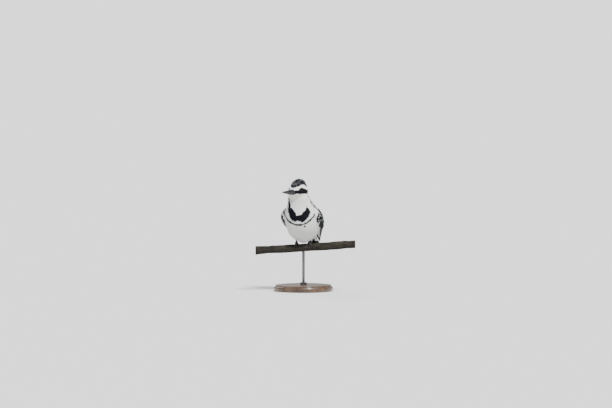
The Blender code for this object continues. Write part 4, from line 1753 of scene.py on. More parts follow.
@dataclass
class Wing:
    """A folded wing: its flight feathers and the larger coverts that lie over them."""

    side: str
    sign: float
    markings: Markings
    rings: int = 64
    columns: int = 25
    grow: float = 0.25
    tilt: float = 0.10
    thickest: float = 14.0
    underside: Row = Row(
        Web.UNDERSIDE, 10,
        ((0.34, 0.10), (0.34, 0.40), (0.36, 0.74)), ((0.93, 0.20), (0.97, 0.48), (0.80, 0.80)),
        (3.4, 3.6, 3.6), (0.5, 0.3, 0.2), stations=30, shaft=0.3,
    )
    primaries: Row = Row(
        Web.PRIMARY, 10,
        ((0.26, 0.05), (0.29, 0.22), (0.31, 0.42)), ((0.93, 0.14), (0.985, 0.50), (0.84, 0.80)),
        (3.0, 3.4, 3.5), (2.2, 1.8, 1.4), stations=56, bend=1.2,
    )
    secondaries: Row = Row(
        Web.SECONDARY, 12,
        ((0.30, 0.42), (0.29, 0.62), (0.27, 0.86)), ((0.82, 0.80), (0.78, 0.88), (0.72, 0.96)),
        (3.5, 3.7, 3.8), (1.35, 1.0, 0.7), stations=48,
    )
    tertials: Row = Row(
        Web.TERTIAL, 4,
        ((0.26, 0.78), (0.24, 0.87), (0.22, 0.96)), ((0.67, 0.88), (0.63, 0.94), (0.57, 0.985)),
        (4.0, 4.0, 3.6), (0.6, 0.4, 0.2), stations=38,
    )
    hand_coverts: Row = Row(
        Web.DARK_COVERT, 9,
        ((0.15, 0.03), (0.16, 0.18), (0.17, 0.34)), ((0.38, 0.05), (0.42, 0.20), (0.41, 0.40)),
        (2.0, 2.2, 2.2), (1.3, 1.0, 0.8), stations=22,
    )
    alula: Row = Row(
        Web.DARK_COVERT, 3,
        ((0.13, 0.02), (0.13, 0.08), (0.13, 0.14)), ((0.30, 0.03), (0.32, 0.08), (0.31, 0.15)),
        (1.9, 2.0, 2.0), (0.7, 0.5, 0.4), stations=20,
    )
    greater: Row = Row(
        Web.COVERT, 15,
        ((0.25, 0.30), (0.24, 0.62), (0.21, 0.97)), ((0.43, 0.40), (0.45, 0.70), (0.40, 0.98)),
        (2.3, 2.6, 2.6), (0.9, 0.5, 0.2), stations=26,
    )
    median: Row = Row(
        Web.COVERT, 15,
        ((0.17, 0.20), (0.16, 0.58), (0.14, 0.97)), ((0.31, 0.27), (0.33, 0.63), (0.29, 0.98)),
        (2.0, 2.2, 2.2), (0.6, 0.25, 0.1), stations=22,
    )
    lesser: Row = Row(
        Web.COVERT, 15,
        ((0.11, 0.12), (0.10, 0.54), (0.09, 0.97)), ((0.22, 0.18), (0.23, 0.58), (0.20, 0.98)),
        (1.8, 1.9, 1.9), (0.4, 0.1, 0.0), stations=18,
    )

    def build(self) -> None:
        """Makes the wing's flight feathers and its coverts, as two pieces."""
        self.sheet = self.outer_face()
        finish = broad_finish("flight_feather", 60.0, 0.22, 0.30).material()
        flight = [self.underside, self.primaries, self.secondaries, self.tertials]
        self.build_piece(f"flight_feathers_{self.side}", "plumage_black", flight, finish)
        coverts = [self.hand_coverts, self.alula, self.greater, self.median, self.lesser]
        self.build_piece(f"wing_coverts_{self.side}", "plumage_pied", coverts, finish)

    def outer_face(self) -> Sheet:
        """The wing's outer face, read off its CAD solids."""
        nodes = f"wing_{self.side}_shoulder", f"wing_{self.side}_flight"
        form = merged_copy("wing_form", nodes, self.grow)
        surface = Surface(remeshed(form, 0.8, 2))
        bpy.data.objects.remove(form)
        flip = np.array([self.sign, 1.0, 1.0])
        local = self.markings.bird.inside(surface.points) * flip
        stops = np.linspace(local[:, 1].min() + 0.8, local[:, 1].max() - 0.8, self.rings)
        grid = np.array([self.section(surface, local, flip, stop) for stop in stops])
        sheet = Sheet(relaxed(grid, 3), self.sign)
        flat, facing = sheet.grid.reshape(-1, 3), sheet.normals.reshape(-1, 3)
        deep = surface.thickness(flat - 0.1 * facing, facing, self.thickest).reshape(grid.shape[:2] + (1,))
        self.inner = Sheet(relaxed(sheet.grid - sheet.normals * (deep - self.grow), 3), -self.sign)
        return sheet

    def section(self, surface: Surface, local: Array, flip: Array, stop: float) -> Array:
        """Points over the wing from its lower to its upper edge, at one place along it.

        Args:
            surface: The whole wing.
            local: Its points in the bird's axes, mirrored onto the left side.
            flip: What mirrors them.
            stop: Place along the wing.

        Returns:
            Points in the row frame.
        """
        cut = local[np.abs(local[:, 1] - stop) < 0.8][:, [0, 2]]
        apart = np.linalg.norm(cut[:, None] - cut[None], axis=2)
        ends = cut[list(np.unravel_index(apart.argmax(), apart.shape))]
        low, high = ends[np.argsort(ends[:, 1])]
        span = high - low
        inward = unit(np.array([-span[1], span[0]]))
        inward = -inward if inward @ (1.0, 0.5) > 0 else inward
        centre = (low + high) / 2 + inward * (0.6 * np.linalg.norm(span) + 2.0)
        first, last = (np.arctan2(*(end - centre)[::-1]) for end in (low, high))
        found = []
        for share in np.linspace(0.015, 0.985, self.columns):
            angle = first + (last - first) * share
            ray = np.array([cos(angle), 0.0, sin(angle)])
            start = np.array([centre[0], stop, centre[1]]) + 90.0 * ray
            begin = self.markings.bird.outside(start * flip)
            hit = surface.tree.ray_cast(Vector(begin), Vector(-self.markings.bird.turned(ray * flip)))
            straight = low + span * share
            spare = self.markings.bird.outside(np.array([straight[0], stop, straight[1]]) * flip)
            found.append(spare if hit[0] is None else np.array(hit[0]) - np.array(hit[1]) * self.grow)
        return np.array(found)

    def build_piece(self, name: str, slot: str, rows: list[Row], finish: Material) -> None:
        """Makes one piece from several rows.

        Args:
            name: Name of the piece.
            slot: Name of its material slot.
            rows: Its rows, from the lowest layer up.
            finish: Its material.
        """
        draw = np.random.default_rng(31 + len(name))
        sheets = [self.inner if row.web is Web.UNDERSIDE else self.sheet for row in rows]
        sets = [laid_row(row, sheet, draw, self.tilt) for row, sheet in zip(rows, sheets)]
        pieces = []
        for row, vanes in zip(rows, sets):
            mesh = FeatherMesh()
            add_stiff_vanes(mesh, vanes, draw, 0.07)
            pieces.append(feather_piece(name, mesh, vanes, self.colours(row, vanes)))
        show(joined(name, pieces), slot, finish)

    def colours(self, row: Row, vanes: Vanes) -> Colouring:
        """The function that colours a row.

        Args:
            row: The row.
            vanes: Its feathers.

        Returns:
            A function from points, feather numbers, side and along to colours.
        """
        palette = self.markings.palette
        white, black, sooty = (palette.of(name) for name in ("white", "black", "sooty"))
        fray = self.markings.fray
        outer = self.sign  # the side of the vane that faces the wing's lower edge
        order = np.linspace(0.0, 1.0, row.count)

        def colour(points: Array, feathers: Array, side: Array, along: Array) -> Array:
            """Colours at points of these feathers."""
            luck, rank = vanes.luck[feathers], order[feathers]
            edge = outer * side
            ragged = 0.03 * fray(points) + 0.05 * (luck - 0.5)
            base = blend(sooty, black, np.clip(0.4 + edge, 0.0, 1.0))
            if row.web is Web.PRIMARY:
                patch = ease(0.20, 0.24, along + ragged) * (1 - ease(0.48, 0.54, along + ragged))
                tips = ease(0.975, 0.99, along + ragged)
                pale = np.maximum(patch, 0.8 * tips)
            elif row.web is Web.SECONDARY:
                patch = 1 - ease(0.50, 0.56, along + ragged + 0.12 * rank)
                tips = ease(0.93, 0.96, along + ragged)
                pale = np.maximum(patch * ease(-0.1, 0.2, edge), tips)
            elif row.web is Web.TERTIAL:
                rim = ease(0.80, 0.92, np.abs(side)) * ease(0.3, 0.5, along)
                pale = np.maximum(rim, ease(0.92, 0.95, along + ragged))
            elif row.web is Web.COVERT:
                size = 0.30 * ease(0.15, 0.9, luck)
                tips = ease(1.0 - size, 1.03 - size, along - 0.10 * (1.0 - np.abs(side)) + 2.0 * ragged)
                rim = ease(0.76, 0.88, edge) * ease(0.50, 0.62, along + ragged) * (luck > 0.35)
                spot = 1.0 - ease(0.8, 1.3, np.hypot((along - 0.62) * 14.0, (edge - 0.35) * 4.0))
                pale = np.maximum.reduce([tips, rim, spot * (luck > 0.6)])
            elif row.web is Web.UNDERSIDE:
                pale = 0.92 * (1.0 - ease(0.80, 0.88, along + ragged)) * (1.0 - 0.8 * (rank < 0.12))
            else:
                pale = 0.75 * ease(0.94, 0.97, along + ragged) * (luck > 0.5)
            lit = 1.0 - 0.22 * ease(0.55, 1.0, -edge) - 0.10 * (np.abs(side) < 0.1)
            return blend(base, white * 0.97, np.clip(pale, 0.0, 1.0)) * lit[:, None]

        return colour


def joined(name: str, pieces: list[Object]) -> Object:
    """Several meshes made one object.

    Args:
        name: Name of the object.
        pieces: Objects to join, which are used up.

    Returns:
        The object.
    """
    with bpy.context.temp_override(active_object=pieces[0], selected_editable_objects=pieces):
        bpy.ops.object.join()
    pieces[0].name = pieces[0].data.name = name
    return pieces[0]


@dataclass
class Tail:
    """The folded tail: twelve feathers, the middle pair on top."""

    markings: Markings
    pairs: int = 6
    start: float = 4.0
    end: float = 78.5
    spread: float = 7.4  # from the middle to the outermost feather's shaft, at the tip
    half_width: float = 4.1
    droop: float = 2.0  # of the edges at the tip
    layer: float = 0.16
    stations: int = 64
    profile: Knots = (
        (0.0, 0.35), (0.15, 0.65), (0.5, 0.92), (0.88, 1.0), (0.96, 0.86), (0.985, 0.62), (1.0, 0.2),
    )

    def build(self) -> None:
        """Makes the tail."""
        draw = np.random.default_rng(5)
        tail = self.markings.tail
        rank = np.repeat(np.arange(self.pairs)[::-1], 2).astype(float)
        side = np.tile([1.0, -1.0], self.pairs)
        share = np.linspace(0.0, 1.0, self.stations)[None]
        reach = rank / (self.pairs - 1)
        length = (self.end - self.start) - 1.6 * reach + draw.normal(0.0, 0.3, 2 * self.pairs)
        x = side[:, None] * (0.7 + reach[:, None] * (1.5 + (self.spread - 1.5) * share))
        y = self.start + length[:, None] * share
        z = 0.9 - self.layer * rank[:, None] - self.droop * (x / 11.0) ** 2 * share
        z = z - 0.06 * (side[:, None] > 0)
        centre = np.stack([x, y, z], axis=2)
        lean = np.stack([-0.10 * side[:, None] + 0.0 * y, 0.0 * y, np.ones_like(y)], axis=2)
        width = self.half_width * through(self.profile, share) * np.ones_like(y)
        home = np.column_stack([0.5 + 0.4 * side * (0.1 + reach), np.full(2 * self.pairs, 0.5)])
        vanes = Vanes(
            tail.outside(centre), unit(tail.turned(lean)), width, home,
            np.zeros(len(rank)), draw.random(len(rank)), thick=0.12, cup=0.05, rachis=0.28,
        )
        mesh = FeatherMesh()
        add_stiff_vanes(mesh, vanes, draw, 0.05)
        piece = feather_piece("tail_feathers", mesh, vanes, self.colours(rank))
        finish = broad_finish("tail_feather", 90.0, 0.16, 0.28).material()
        show(piece, "plumage_pied", finish, "tail")

    def colours(self, rank: Array) -> Colouring:
        """The function that colours the tail.

        Args:
            rank: 0 for the middle pair, more for each pair beside it.

        Returns:
            A function from points, feather numbers, side and along to colours.
        """
        palette = self.markings.palette
        white, black = palette.of("white"), palette.of("black")
        fray = self.markings.fray

        def colour(points: Array, feathers: Array, side: Array, along: Array) -> Array:
            """Colours at points of these feathers."""
            ragged = 0.012 * fray(points)
            edge = np.abs(side)
            central = (rank[feathers] < 1.0).astype(float)
            start = 0.66 - 0.10 * central + 0.03 * edge
            band = ease(start, start + 0.03, along + ragged)
            band = band * (1.0 - ease(0.945, 0.96, along + ragged))
            shaft_dark = 0.75 * central * (1.0 - ease(0.15, 0.55, edge)) * ease(0.1, 0.3, along)
            spots = 1.0 - ease(1.0, 1.6, np.hypot((along - 0.52) * 34.0, (edge - 0.55) * 4.0))
            return blend(white, black, np.clip(np.maximum.reduce([band, shaft_dark, 0.8 * spots]), 0.0, 1.0))

        return colour


# --- Eyes, bill and feet ---


def lathed(name: str, profile: Array, axis: Axes, segments: int) -> Object:
    """A closed turned shape.

    Args:
        name: Name of the object.
        profile: Pairs of distance from the axis and place along it, from pole to pole.
        axis: Axes whose z the shape turns about.
        segments: Number of faces round it.

    Returns:
        The object.
    """
    turns = np.linspace(0.0, 2.0 * pi, segments, endpoint=False)
    inner = np.asarray(profile)[1:-1]
    x, y = inner[:, :1] * np.cos(turns), inner[:, :1] * np.sin(turns)
    rings = np.stack([x, y, np.broadcast_to(inner[:, 1:], x.shape)], axis=2).reshape(-1, 3)
    poles = [(0.0, 0.0, profile[0][1]), (0.0, 0.0, profile[-1][1])]
    triangles = [strip(segments, segments) + ring * segments for ring in range(len(inner) - 1)]
    a, b = np.arange(segments), (np.arange(segments) + 1) % segments
    top = (len(inner) - 1) * segments
    triangles.append(np.column_stack([b, a, np.full(segments, len(rings))]))
    triangles.append(np.column_stack([top + a, top + b, np.full(segments, len(rings) + 1)]))
    return outwards(mesh_object(name, axis.outside(np.vstack([rings, poles])), np.concatenate(triangles)))


def rounded(corners: list[Pair], radii: list[float], steps: int = 5) -> list[Pair]:
    """A profile whose corners are rounded.

    Args:
        corners: Corner points.
        radii: Length taken off each side at each corner.
        steps: Points on each rounding.

    Returns:
        The finer profile.
    """
    found = []
    for i, (corner, radius) in enumerate(zip(corners, radii)):
        here = np.array(corner)
        if radius == 0.0:
            found.append(tuple(here))
            continue
        before, after = (here + radius * unit(np.array(corners[j]) - here) for j in (i - 1, i + 1))
        for t in np.linspace(0.0, 1.0, steps):
            found.append(tuple((1 - t) ** 2 * before + 2 * t * (1 - t) * here + t * t * after))
    return found


@dataclass(frozen=True)
class EyeFinish(Finish):
    """A wet dark-brown eye: round pupil, streaked iris and a dark rim."""

    name: str = "eye_gloss"
    pupil: float = 0.24  # share of the quarter turn from the middle of the eye
    iris: float = 0.47

    def paint(self, graph: Paint) -> None:
        """Draws the finish."""
        around, polar = graph.on_map("Gaze")
        streaks = graph.add("CombineXYZ", {0: graph.times(around, 60.0), 1: graph.times(polar, 4.0)})
        grain = graph.noise(streaks.outputs[0], 1.0, 3.0)
        rings = graph.ramp(
            polar,
            (self.pupil, (0.001, 0.001, 0.001)),
            (self.pupil + 0.015, (0.004, 0.002, 0.001)),
            (self.pupil + 0.08, (0.010, 0.004, 0.0022)),
            (self.iris - 0.03, (0.006, 0.0025, 0.0015)),
            (self.iris, (0.002, 0.001, 0.001)),
        )
        shade = graph.ramp(grain, (0.3, 0.55), (0.7, 1.25))
        graph.wear(graph.mixed(0.8, rings, shade, "MULTIPLY"), 0.03, 0.22, IOR=1.38)


@dataclass(frozen=True)
class LidFinish(Finish):
    """The bare grey-black rim of the eye, with fine papillae."""

    name: str = "eyelid"

    def paint(self, graph: Paint) -> None:
        """Draws the finish."""
        cells = graph.cells(graph.place(), 3200.0)
        tint = graph.ramp(cells, (0.1, (0.009, 0.009, 0.010)), (0.7, (0.003, 0.003, 0.0035)))
        graph.wear(tint, 0.55, 0.15, (cells, 0.5, 0.0001, True))


@dataclass
class Eyes:
    """The eyes and the lids that hug them."""

    markings: Markings
    radius: float = 4.6
    cornea: float = 0.30  # how far the clear front bulges
    gaze: Triple = (1.0, -0.22, 0.04)
    opening: float = 40.0  # degrees from the gaze to the edge of the lids
    lid_end: float = 57.0
    lid_thick: float = 0.26
    almond: float = 0.10
    segments: int = 72
    lid_shape: tuple = (  # share of the lid's width, and height as a share of its thickness
        (0.01, 0.6), (0.06, 1.0), (0.18, 1.05), (0.32, 0.8), (0.5, 0.75), (0.68, 0.62), (0.86, 0.35),
    )

    def build(self) -> None:
        """Makes both eyes with their lids."""
        gloss, bare = EyeFinish().material(), LidFinish().material()
        for side, sign in SIDES:
            axes = self.axes(side, sign)
            self.build_ball(side, axes, gloss)
            self.build_lids(side, axes, bare)

    def axes(self, side: str, sign: float) -> Axes:
        """Axes of one eye, z out of its middle."""
        head = self.markings.head
        out = unit(head.turned(np.array(self.gaze) * (sign, 1.0, 1.0)))
        up = across(head.turned([0.0, 0.0, 1.0]), out)
        return Axes(middle_of("eye_" + side), np.column_stack([np.cross(up, out), up, out]))

    def build_ball(self, side: str, axes: Axes, finish: Material) -> None:
        """Makes one eyeball."""
        polar = np.radians(np.linspace(0.0, 180.0, 49))
        radius = self.radius - 0.02 + self.cornea * np.exp(-((np.degrees(polar) / 26.0) ** 2))
        profile = np.column_stack([radius * np.sin(polar), radius * np.cos(polar)])
        ball = lathed("eyeball_" + side, profile, axes, self.segments)
        x, y, z = axes.inside(points_of(ball.data)).T
        angle = np.degrees(np.arctan2(np.hypot(x, y), z)) / 90.0
        set_map(ball.data, "Gaze", np.column_stack([np.arctan2(y, x) / (2.0 * pi) + 0.5, angle]))
        show(ball, "eye", finish, "eye_" + side)

    def build_lids(self, side: str, axes: Axes, finish: Material) -> None:
        """Makes the ring of lid round one eye."""
        start, end = radians(self.opening), radians(self.lid_end)
        raised = [(share, high * self.lid_thick) for share, high in self.lid_shape]
        rows = [(0.0, 0.02), *raised, (1.0, 0.02), (1.0, -0.5), (0.5, -0.45), (0.06, -0.2)]
        turns = np.linspace(0.0, 2.0 * pi, self.segments, endpoint=False)
        stretch = 1.0 + self.almond * np.cos(2.0 * turns) - 0.03 * np.sin(turns)
        wrinkle = 0.05 * np.sin(turns * 19.0) + 0.03 * np.sin(turns * 31.0 + 1.0)
        points, triangles = [], []
        for row, (share, rise) in enumerate(rows):
            polar = (start + (end - start) * share) * stretch
            ruffled = wrinkle if rise > 0.3 * self.lid_thick else 0.0
            radius = self.radius + self.cornea * 0.12 + rise + ruffled * share
            x, y = radius * np.sin(polar) * np.cos(turns), radius * np.sin(polar) * np.sin(turns)
            points.append(np.column_stack([x, y, radius * np.cos(polar)]))
            lift = ((row + 1) % len(rows) - row) * self.segments
            triangles.append(strip(self.segments, lift) + row * self.segments)
        places = axes.outside(np.concatenate(points))
        show(outwards(mesh_object("eyelids_" + side, places, np.concatenate(triangles))), "eye", finish)


@dataclass(frozen=True)
class HornFinish(Finish):
    """Polished black horn, with a painted bluish-grey highlight along the top and a painted pale highlight
    at the cutting edges.
    """

    name: str
    # ridge: colour of the painted bluish-grey highlight along the top
    ridge: Triple
    edge_at: float  # height share of the cutting edge: 0 for an upper half, 1 for a lower one
    flank: Triple = (0.006, 0.007, 0.009)
    # edge: colour of the painted pale highlight along the cutting edge
    edge: Triple = (0.040, 0.042, 0.042)

    def paint(self, graph: Paint) -> None:
        """Draws the finish."""
        along, height = graph.on_map("Horn")
        streak = graph.add("CombineXYZ", {0: graph.times(along, 6.0), 1: graph.times(height, 42.0)})
        grain = graph.noise(streak.outputs[0], 1.0, 4.0, 0.6)
        blotch = graph.noise(graph.place(), 260.0, 3.0)
        high = graph.maths("ADD", height, graph.times(blotch, 0.25))
        # Painted highlight: lighter towards the top of each half, fading out to the tip.
        ridge = graph.ramp(high, (0.62, self.flank), (1.10, self.ridge))
        to_tip = graph.maths("SMOOTH_MIN", 1.0, graph.times(along, 0.9), 0.2)
        scratch = graph.ramp(grain, (0.35, 0.75), (0.75, 1.35))
        horn = graph.mixed(1.0, graph.mixed(to_tip, ridge, self.flank), scratch, "MULTIPLY")
        # Painted highlight: a pale band along the cutting edge.
        worn = graph.maths("ABSOLUTE", graph.maths("SUBTRACT", height, self.edge_at))
        rim = graph.ramp(graph.maths("ADD", worn, graph.times(blotch, 0.03)), (0.02, 1.0), (0.085, 0.0))
        rough = graph.ramp(blotch, (0.3, 0.30), (0.7, 0.46))
        graph.wear(graph.mixed(rim, horn, self.edge), rough, 0.26, (grain, 0.22, 0.00015))


class Half(Enum):
    """The halves of the bill."""

    UPPER = "upper"
    LOWER = "lower"


@dataclass
class Bill:
    """The dagger bill in its two halves, with nostrils set in grooves beside the ridge."""

    markings: Markings
    voxel: float = 0.30
    grow: float = 0.20
    base: float = -12.0
    tip: float = -75.5
    nostril: Pair = (-20.5, 0.1)  # y and z in the head's axes
    nostril_size: Pair = (1.9, 0.34)
    groove_end: float = -42.0
    slots: int = 60  # places along the bill where its height is measured

    def build(self) -> None:
        """Makes both halves."""
        finishes = {
            # The colours given are those of the painted highlight along the top of each half.
            Half.UPPER: HornFinish("horn_upper", (0.022, 0.029, 0.037), 0.0),
            Half.LOWER: HornFinish("horn_lower", (0.012, 0.015, 0.019), 1.0),
        }
        for half, finish in finishes.items():
            node = "bill_" + half.value
            bill = remeshed(merged_copy("horn_" + half.value, (node,), self.grow), self.voxel, 5)
            points, normals = points_of(bill.data), normals_of(bill.data)
            local, facing = self.markings.head.inside(points), normals @ self.markings.head.basis
            set_points(bill.data, points - normals * self.relief(half, local, facing)[:, None])
            set_map(bill.data, "Horn", self.shares(local))
            show(bill, "bill_horn", finish.material(), node)

    def shares(self, local: Array) -> Array:
        """Places on the horn, which its finish reads.

        Args:
            local: Points in the head's axes.

        Returns:
            Shares along the bill and up its side, from 0 to 1.
        """
        along = (local[:, 1] - self.base) / (self.tip - self.base)
        slots = np.clip((along * self.slots).astype(int), 0, self.slots - 1)
        low, high = np.full(self.slots, 1e9), np.full(self.slots, -1e9)
        np.minimum.at(low, slots, local[:, 2])
        np.maximum.at(high, slots, local[:, 2])
        middles = (np.arange(self.slots) + 0.5) / self.slots
        seen = high > low
        floor, roof = (np.interp(along, middles[seen], edge[seen]) for edge in (low, high))
        return np.column_stack([along, (local[:, 2] - floor) / np.maximum(roof - floor, 0.2)])

    def relief(self, half: Half, local: Array, facing: Array) -> Array:
        """How far the horn is cut in by grooves and nostrils.

        Args:
            half: Which half it is.
            local: Points in the head's axes.
            facing: Normals in the head's axes.

        Returns:
            The depths.
        """
        y, z = local[:, 1], local[:, 2]
        beside = ease(0.25, 0.7, np.abs(facing[:, 0]))
        share = np.clip((y - self.base) / (self.groove_end - self.base), 0.0, 1.0)
        if half is Half.LOWER:
            line = -5.6 + 1.6 * share
            return 0.16 * np.exp(-(((z - line) / 0.5) ** 2)) * beside * ease(1.0, 0.4, share)
        line = self.nostril[1] - 1.3 * share
        groove = 0.30 * np.exp(-(((z - line) / 0.65) ** 2)) * beside * ease(1.0, 0.5, share)
        along, up = y - self.nostril[0], z - self.nostril[1]
        slit = (along / self.nostril_size[0]) ** 2 + ((up + 0.28 + 0.16 * along) / self.nostril_size[1]) ** 2
        return groove + 0.75 * np.exp(-(slit**2)) * beside


@dataclass(frozen=True)
class ScuteFinish(Finish):
    """Dark dry skin of legs and toes, paler on the plates' edges."""

    name: str = "scuted_skin"

    def paint(self, graph: Paint) -> None:
        """Draws the finish."""
        place = graph.place()
        greys = (0.15, (0.004, 0.004, 0.0045)), (0.95, (0.020, 0.019, 0.019))
        dusty = graph.ramp(graph.noise(place, 900.0, 3.0), (0.35, 0.7), (0.75, 1.3))
        worn = graph.mixed(1.0, graph.ramp(graph.stored("plate"), *greys), dusty, "MULTIPLY")
        graph.wear(worn, 0.55, 0.22, (graph.cells(place, 1500.0), 0.4, 0.00012))


@dataclass(frozen=True)
class ClawFinish(Finish):
    """Black claws with fine streaks and a slight polish."""

    name: str = "claw_gloss"

    def paint(self, graph: Paint) -> None:
        """Draws the finish."""
        grain = graph.noise(graph.place(), 1100.0, 4.0, 0.6)
        tint = graph.ramp(grain, (0.3, (0.007, 0.007, 0.008)), (0.75, (0.030, 0.028, 0.027)))
        graph.wear(tint, 0.3, relief=(grain, 0.2, 0.0001))


@dataclass
class Feet:
    """Short legs and gripping toes with plates across them, and the claws."""

    pose: Pose
    voxel: float = 0.30
    claw_voxel: float = 0.18
    plate_degrees: float = 9.5  # from one plate to the next, round the perch
    shank_plate: float = 1.9
    plate_height: float = 0.20

    def build(self) -> None:
        """Makes legs, toes and claws."""
        skin, horn = ScuteFinish().material(), ClawFinish().material()
        for side, _ in SIDES:
            self.build_skin(f"toes_{side}", f"foot_{side}", skin, self.over_toes)
            self.build_skin(f"shank_{side}", f"leg_{side}", skin, self.over_shank)
        for node in sorted(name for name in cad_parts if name.startswith("claw")):
            claw = remeshed(merged_copy(node + "_horn", (node,), 0.05), self.claw_voxel, 3)
            show(claw, "claw_horn", horn, node)

    def build_skin(
        self, name: str, node: str, finish: Material, wave: Callable[[Array, Array], Array]
    ) -> None:
        """Makes one piece of plated skin.

        Args:
            name: Name of the piece.
            node: CAD node it replaces.
            finish: Its material.
            wave: Function from points and normals to how high the plates stand, from 0 to 1.
        """
        piece = remeshed(merged_copy(name, (node,), 0.10), self.voxel, 4)
        points, normals = points_of(piece.data), normals_of(piece.data)
        high = wave(points, normals)
        set_points(piece.data, points + normals * ((high - 0.5) * self.plate_height)[:, None])
        set_values(piece.data, "plate", high)
        show(piece, "foot_skin", finish, node)

    def over_toes(self, points: Array, normals: Array) -> Array:
        """Height of the plates that run across the toes.

        Args:
            points: Places on the toes.
            normals: The normals there.

        Returns:
            Heights from 0 to 1.
        """
        off = points - perch_axis(self.pose, points[:, 0])
        turn = np.degrees(np.arctan2(off[:, 1], off[:, 2])) / self.plate_degrees
        outside = np.clip(np.sum(unit(off * (0.0, 1.0, 1.0)) * normals, axis=1), 0.0, 1.0)
        arch = np.abs(np.sin(pi * turn)) ** 0.45
        pads = 0.6 * np.abs(np.sin(pi * turn * 0.5)) ** 0.7
        return pads + (arch - pads) * ease(0.15, 0.5, outside)

    def over_shank(self, points: Array, normals: Array) -> Array:
        """Height of the plates down the leg.

        Args:
            points: Places on the leg.
            normals: The normals there.

        Returns:
            Heights from 0 to 1.
        """
        bird = self.pose.bird()
        height, facing = bird.inside(points)[:, 2], normals @ bird.basis
        rings = np.abs(np.sin(pi * height / self.shank_plate)) ** 0.45
        mesh = 0.5 + 0.25 * np.sin(pi * height / 0.5) * np.sin(6.0 * np.arctan2(facing[:, 0], facing[:, 1]))
        return mesh + (rings - mesh) * ease(0.1, -0.5, facing[:, 1])


# --- Perch and stand ---


def perch_axis(pose: Pose, x: Array) -> Array:
    """Points on the middle line of the perch over given places across."""
    height = pose.perch_top() - pose.perch_radius + x * tan(radians(pose.perch_tilt))
    return np.column_stack([x, pose.perch_sway * (np.abs(x) / 100.0) ** 2, height])


@dataclass(frozen=True)
class BarkFinish(Finish):
    """Weathered dark bark with paler ridges and lichen, and pale sawn ends with rings."""

    name: str = "weathered_bark"

    def paint(self, graph: Paint) -> None:
        """Draws the finish."""
        place = graph.place()
        grain = graph.noise(graph.stretched(place, (90.0, 420.0, 420.0)), 1.0, 6.0, 0.65)
        speck = graph.noise(place, 700.0, 4.0, 0.6)
        cloud = graph.noise(place, 38.0, 4.0, 0.55)
        browns = (0.30, (0.006, 0.005, 0.004)), (0.55, (0.022, 0.019, 0.014)), (0.78, (0.052, 0.045, 0.034))
        high = graph.times(graph.stored("ridge"), 0.40)
        ridge = graph.mixed(high, graph.ramp(grain, *browns), (0.038, 0.035, 0.026))
        damp = graph.mixed(1.0, ridge, graph.ramp(cloud, (0.35, 0.55), (0.68, 1.15)), "MULTIPLY")
        patch = graph.ramp(graph.maths("MULTIPLY_ADD", speck, 0.35, cloud), (0.84, 0.0), (0.90, 0.6))
        lichen = graph.mixed(patch, damp, (0.115, 0.125, 0.085))
        wobble = graph.maths("MULTIPLY_ADD", graph.noise(place, 160.0, 3.0), 1.6, graph.stored("ring"))
        band = graph.maths("MULTIPLY_ADD", graph.maths("SINE", graph.times(wobble, 7.4)), 0.5, 0.5)
        sawn = graph.ramp(band, (0.1, (0.22, 0.15, 0.088)), (0.9, (0.40, 0.30, 0.19)))
        sawn = graph.mixed(1.0, sawn, graph.ramp(speck, (0.3, 0.7), (0.7, 1.1)), "MULTIPLY")
        relief = graph.maths("ADD", graph.times(grain, 0.8), graph.times(speck, 0.4))
        graph.wear(graph.mixed(graph.stored("cut"), lichen, sawn), 0.88, 0.2, (relief, 0.75, 0.0007))


@dataclass(frozen=True)
class FlakeFinish(Finish):
    """Loose bark and lichen scales."""

    name: str = "bark_scale"

    def paint(self, graph: Paint) -> None:
        """Draws the finish."""
        place = graph.place()
        speck = graph.noise(place, 900.0, 4.0, 0.6)
        bark = graph.ramp(speck, (0.3, (0.008, 0.007, 0.0055)), (0.75, (0.042, 0.037, 0.028)))
        crust = graph.ramp(speck, (0.3, (0.040, 0.044, 0.030)), (0.75, (0.105, 0.112, 0.080)))
        share = graph.ramp(graph.noise(place, 60.0, 2.0), (0.56, 0.0), (0.64, 1.0))
        graph.wear(graph.mixed(share, bark, crust), 0.9, relief=(speck, 0.6, 0.0002))


class GeometryTree(Graph):
    """A Geometry Nodes tree that is quick to write and to use."""

    def __init__(self, name: str, **inputs: str) -> None:
        """Makes the tree.

        Args:
            name: Name of the tree.
            **inputs: Socket type of each input by name, besides the geometry and the material.
        """
        super().__init__(bpy.data.node_groups.new(name, "GeometryNodeTree"))
        interface = self.tree.interface
        for socket, kind in {"Geometry": "Geometry", **inputs, "Material": "Material"}.items():
            interface.new_socket(socket, in_out="INPUT", socket_type="NodeSocket" + kind)
        interface.new_socket("Geometry", in_out="OUTPUT", socket_type="NodeSocketGeometry")
        self.given = self.add("NodeGroupInput").outputs

    def repeat(self, piece: NodeSocket, points: NodeSocket, **inputs: NodeSocket) -> None:
        """Ends the tree: a piece at each point, made real, with the material.

        Args:
            piece: Geometry of one piece.
            points: Where to put it.
            **inputs: Rotation and scale.
        """
        placed = self.add("GeometryNodeInstanceOnPoints", {"Points": points, "Instance": piece, **inputs})
        real = self.add("GeometryNodeRealizeInstances", {0: placed.outputs[0]})
        dress = {0: real.outputs[0], "Material": self.given["Material"]}
        dressed = self.add("GeometryNodeSetMaterial", dress)
        self.feed(self.add("NodeGroupOutput"), {0: dressed.outputs[0]})

    def grown_on(self, name: str, obj: Object, **values: object) -> Object:
        """What the tree makes on an object, as a plain mesh.

        Args:
            name: Name of the new object.
            obj: Object that the tree is run on, which stays as it is.
            **values: Value of each input by name.

        Returns:
            The new object.
        """
        carrier = linked(name, obj.data.copy())
        modifier = carrier.modifiers.new("grow", "NODES")
        modifier.node_group = self.tree
        for item in self.tree.interface.items_tree:
            if item.in_out == "INPUT" and item.name in values:
                modifier[item.identifier] = values[item.name]
        return evaluated(carrier)


